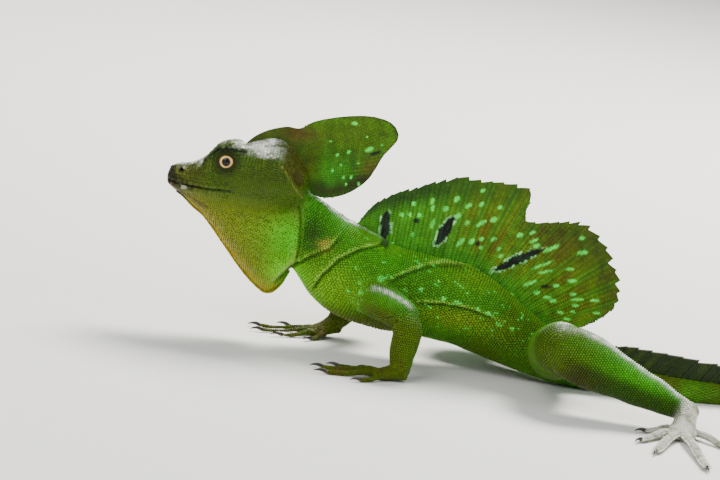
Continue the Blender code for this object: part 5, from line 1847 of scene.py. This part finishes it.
def eye_colour(away, turn, iris):
    """Round pupil, dark brown ring, pale gold ring with fine fibres, red-brown outer ring."""
    fibres = 0.5 + 0.5 * np.sin(turn * 46 + 3 * np.sin(turn * 7))
    bright = 0.55 + 0.45 * bell(away, 2.3, 0.45) + 0.10 * np.sin(turn * 3 + 1)
    gold = np.asarray(iris[:]) * (bright * (0.8 + 0.3 * fibres))[:, None]
    return painted(np.zeros((len(away), 3)) + BLACK, (
        ((0.10, 0.035, 0.012), step_up(away, 1.5, 1.75)),
        (gold, step_up(away, 1.85, 2.05)),
        ((0.16, 0.05, 0.02), step_up(away, 2.85, 3.1)),
    ))


def lid_rim(centre, side):
    """A thin roll along the opening between the lids."""
    turn, roll = full_turn(72), full_turn(12)
    spoke = upright(turn, *LID_OPENING)
    reach = np.linalg.norm(spoke, axis=1)
    spoke = spoke + columns(0, side * np.sqrt((EYE_RADIUS + 0.4) ** 2 - reach**2), 0)
    size = (0.27 + 0.03 * np.sin(turn * 9))[:, None, None]
    rings = (
        centre + spoke[:, None]
        + unit(spoke)[:, None] * size * np.cos(roll)[:, None]
        - upright(turn)[:, None] * 0.8 * size * np.sin(roll)[:, None]
    )
    return outward(rings.reshape(-1, 3), [grid_faces(*rings.shape[:2], (True, True))])


class BASILISK_OT_claws(bpy.types.Operator):
    """Build the twenty claws"""

    bl_idname = "basilisk.claws"
    bl_label = "Claws"

    def execute(self, context):
        meshes = []
        for name in PAWS:
            for line, _, heading in digit_lines(name):
                out = np.linspace(-0.3, 1, 22)
                ahead = np.array((math.cos(heading), math.sin(heading), 0))
                base = line[-1, 2]
                path = line[-1] * (1, 1, 0) + ahead * (out * CLAW[0])[:, None]
                path[:, 2] = base + CLAW_ARCH * np.sin(math.pi * (out + 0.25) / 1.9)
                path[:, 2] -= (base - 0.15) * out.clip(0) ** 2
                half = CLAW[1] * (1 - out.clip(0)).clip(0) ** 0.75 * 0.95 + 0.06
                path[:, 2] = np.maximum(path[:, 2], half + 0.02)
                meshes.append(ring_mesh(tube(path, half, half * 0.8, 14)))
        colour = context.scene.basilisk.claw
        material, tree, shader, _ = new_material("claw", 0.9, {"Roughness": 0.3}, colour)
        join(tree, (group_node(tree, "Grain", Scale=900, Strength=0.2), "Normal", shader, "Normal"))
        finished(new_object("claws", *merged(meshes), material), "claw")
        return {"FINISHED"}


class BASILISK_OT_crests(bpy.types.Operator):
    """Build the crest of the head, the sail and the crest of the tail"""

    bl_idname = "basilisk.crests"
    bl_label = "Crests"

    def execute(self, context):
        material = skin_material("crest", amount=0.4, grain=1600, gloss=0.5)
        for name, rays, rows, between, pitch, slot in (
            ("head_crest", 199, 80, 6, 1, "crest_skin"),
            ("sail", 361, 72, 4, 1.1, "crest_skin"),
            ("tail_crest", 457, 20, 5, 1.15, "tail_crest_skin"),
        ):
            points, faces, tint = fin_mesh(name, rays, rows)
            finished(new_object(name + "_fin", points, faces, material, tint * FIN_SHADE), slot, name)
            fin_scales(name, between, pitch, material, slot)
        return {"FINISHED"}


class BASILISK_OT_scales(bpy.types.Operator):
    """Lay the scales over the skin"""

    bl_idname = "basilisk.scales"
    bl_label = "Scales"

    def execute(self, context):
        settings = context.scene.basilisk
        skin = bpy.data.objects["skin"]
        material = skin_material("scales", amount=0.35, grain=2600, gloss=0.42)
        sizes = (settings.body_scale, settings.face_scale, settings.paw_scale)
        body, face, paw = (size / MM for size in sizes)
        small, plate, keeled = small_scale(), plate_scale(), keeled_scale()
        shields = coat(skin, "coat_shields", shield_roots(), plate, material, 1.3)
        lids = coat(skin, "coat_lids", lid_roots(), small, material, 0.6)
        lips = np.vstack([shields, lids])
        head = coat(skin, "coat_head", head_roots(face), plate, material, face, 2.6, HEAD_FILL, lips)
        head = np.vstack([head, lips])
        coat(skin, "coat_throat", throat_roots(face * 1.1), plate, material, face * 1.05, 3.4,
             THROAT_FILL, head)
        add_coat("coat_spines", together([spine_roots(), fringe_roots()]), keeled, material)
        trunk = coat(skin, "coat_trunk", trunk_roots(body), small, material, body, fill=TRUNK_FILL)
        arms = leg_roots(("upper_arm", "forearm"), body * 0.95)
        arms = coat(skin, "coat_arms", arms, small, material, body * 0.95, avoid=trunk)
        legs = leg_roots(("thigh", "shank"), body)
        coat(skin, "coat_legs", legs, small, material, body, avoid=np.vstack([trunk, arms]))
        coat(skin, "coat_tail", tail_roots(), keeled, material, 1.1, avoid=trunk)
        coat(skin, "coat_paws", paw_roots(paw), small, material, paw)
        return {"FINISHED"}


class BASILISK_OT_stage(bpy.types.Operator):
    """Set the floor, the lights and the camera"""

    bl_idname = "basilisk.stage"
    bl_label = "Stage"

    def execute(self, context):
        add_floor(context.scene.basilisk.floor)
        add_lights(context)
        add_camera(context)
        return {"FINISHED"}


# The backdrop, in metres
FLOOR_END = 3
BEND_RADIUS = 1.2
BEND_LENGTH = 1.885


def add_floor(colour):
    """A wide floor that turns up into a backdrop far behind."""
    x = np.linspace(-4, 4, 9)
    run = np.linspace(-3, 6, 91)
    past = (run - FLOOR_END).clip(0)
    turn = (past / BEND_RADIUS).clip(0, math.pi / 2)
    y = np.where(run < FLOOR_END, run, FLOOR_END + BEND_RADIUS * np.sin(turn))
    z = np.where(run < FLOOR_END, 0, BEND_RADIUS * (1 - np.cos(turn)) + (past - BEND_LENGTH).clip(0))
    grid = np.stack(np.broadcast_arrays(x[:, None], y[None], z[None]), axis=-1).reshape(-1, 3)
    material, *_ = new_material("floor", 0.04, {"Roughness": 0.9}, colour)
    faces = grid_faces(len(x), len(run))[:, (0, 3, 2, 1)]
    floor = new_object("floor", grid / MM - SHIFT, [faces], material)


def add_lights(context):
    for name, place, target, size, power, colour in (
        ("back_light", (0.30, 1, 1.35), (-0.15, 0, 0.05), 0.7, 84, (1, 0.98, 0.92)),
        ("left_light", (-1, -1.2, 1.2), (-0.15, 0, 0.05), 1.1, 24, (1, 1, 1)),
        ("right_light", (1.2, -0.9, 0.9), (-0.05, 0, 0.05), 1.2, 9, (0.95, 0.98, 1)),
    ):
        light = bpy.data.lights.new(name, "AREA")
        light.energy, light.size, light.color = power, size, colour
        lamp = bpy.data.objects.new(name, light)
        lamp.location = place
        lamp.rotation_euler = (Vector(target) - Vector(place)).to_track_quat("-Z", "Y").to_euler()
        context.scene.collection.objects.link(lamp)
    world = bpy.data.worlds.new("studio")
    world.use_nodes = True
    set_values(world.node_tree.nodes["Background"], {"Color": (0.95, 0.98, 1, 1), "Strength": 0.42})
    context.scene.world = world


CAMERA_ROLL = 9
CAMERA_LIFT = 10
CAMERA_DISTANCE = 1.6
CAMERA_AIM = 0.0502     # height of the picture's middle
PIXEL = 0.00044         # size of a pixel at the animal
IMAGE_WIDTH = 720
SENSOR = 36             # millimetres


def add_camera(context):
    """Camera level with the animal's left side, a little above it and turned about its own axis."""
    roll, lift = math.radians(CAMERA_ROLL), math.radians(CAMERA_LIFT)
    right, up = Vector((1, 0, 0)), Vector((0, math.sin(lift), math.cos(lift)))
    view = Vector((0, math.cos(lift), -math.sin(lift)))
    turned_right = math.cos(roll) * right + math.sin(roll) * up
    turned_up = -math.sin(roll) * right + math.cos(roll) * up
    turn = Matrix((turned_right, turned_up, -view)).transposed()
    aim = Vector((SHIFT[0] * MM, SHIFT[1] * MM, CAMERA_AIM))
    camera = bpy.data.cameras.new("camera")
    camera.sensor_width = SENSOR
    camera.lens = SENSOR * CAMERA_DISTANCE / (IMAGE_WIDTH * PIXEL)
    camera.dof.use_dof = False
    holder = bpy.data.objects.new("camera", camera)
    holder.matrix_world = Matrix.Translation(aim - view * CAMERA_DISTANCE) @ turn.to_4x4()
    context.scene.collection.objects.link(holder)
    context.scene.camera = holder


class BASILISK_PT_panel(bpy.types.Panel):
    """Lists the steps in the sidebar"""

    bl_label = "Basilisk"
    bl_idname = "BASILISK_PT_panel"
    bl_space_type = "VIEW_3D"
    bl_region_type = "UI"
    bl_category = "Basilisk"

    def draw(self, context):
        for name in BasiliskSettings.__annotations__:
            self.layout.prop(context.scene.basilisk, name)
        for step in STEPS:
            self.layout.operator(step.bl_idname)


STEPS = (
    BASILISK_OT_skin, BASILISK_OT_eyes, BASILISK_OT_claws, BASILISK_OT_crests, BASILISK_OT_scales,
    BASILISK_OT_stage,
)


def register():
    for each in (BasiliskSettings, *STEPS, BASILISK_PT_panel):
        bpy.utils.register_class(each)
    bpy.types.Scene.basilisk = PointerProperty(type=BasiliskSettings)


def unregister():
    del bpy.types.Scene.basilisk
    for each in reversed((BasiliskSettings, *STEPS, BASILISK_PT_panel)):
        bpy.utils.unregister_class(each)


def main():
    register()
    bpy.ops.basilisk.skin()
    bpy.ops.basilisk.eyes()
    bpy.ops.basilisk.claws()
    bpy.ops.basilisk.crests()
    bpy.ops.basilisk.scales()
    bpy.ops.basilisk.stage()


if __name__ == "__main__":
    main()
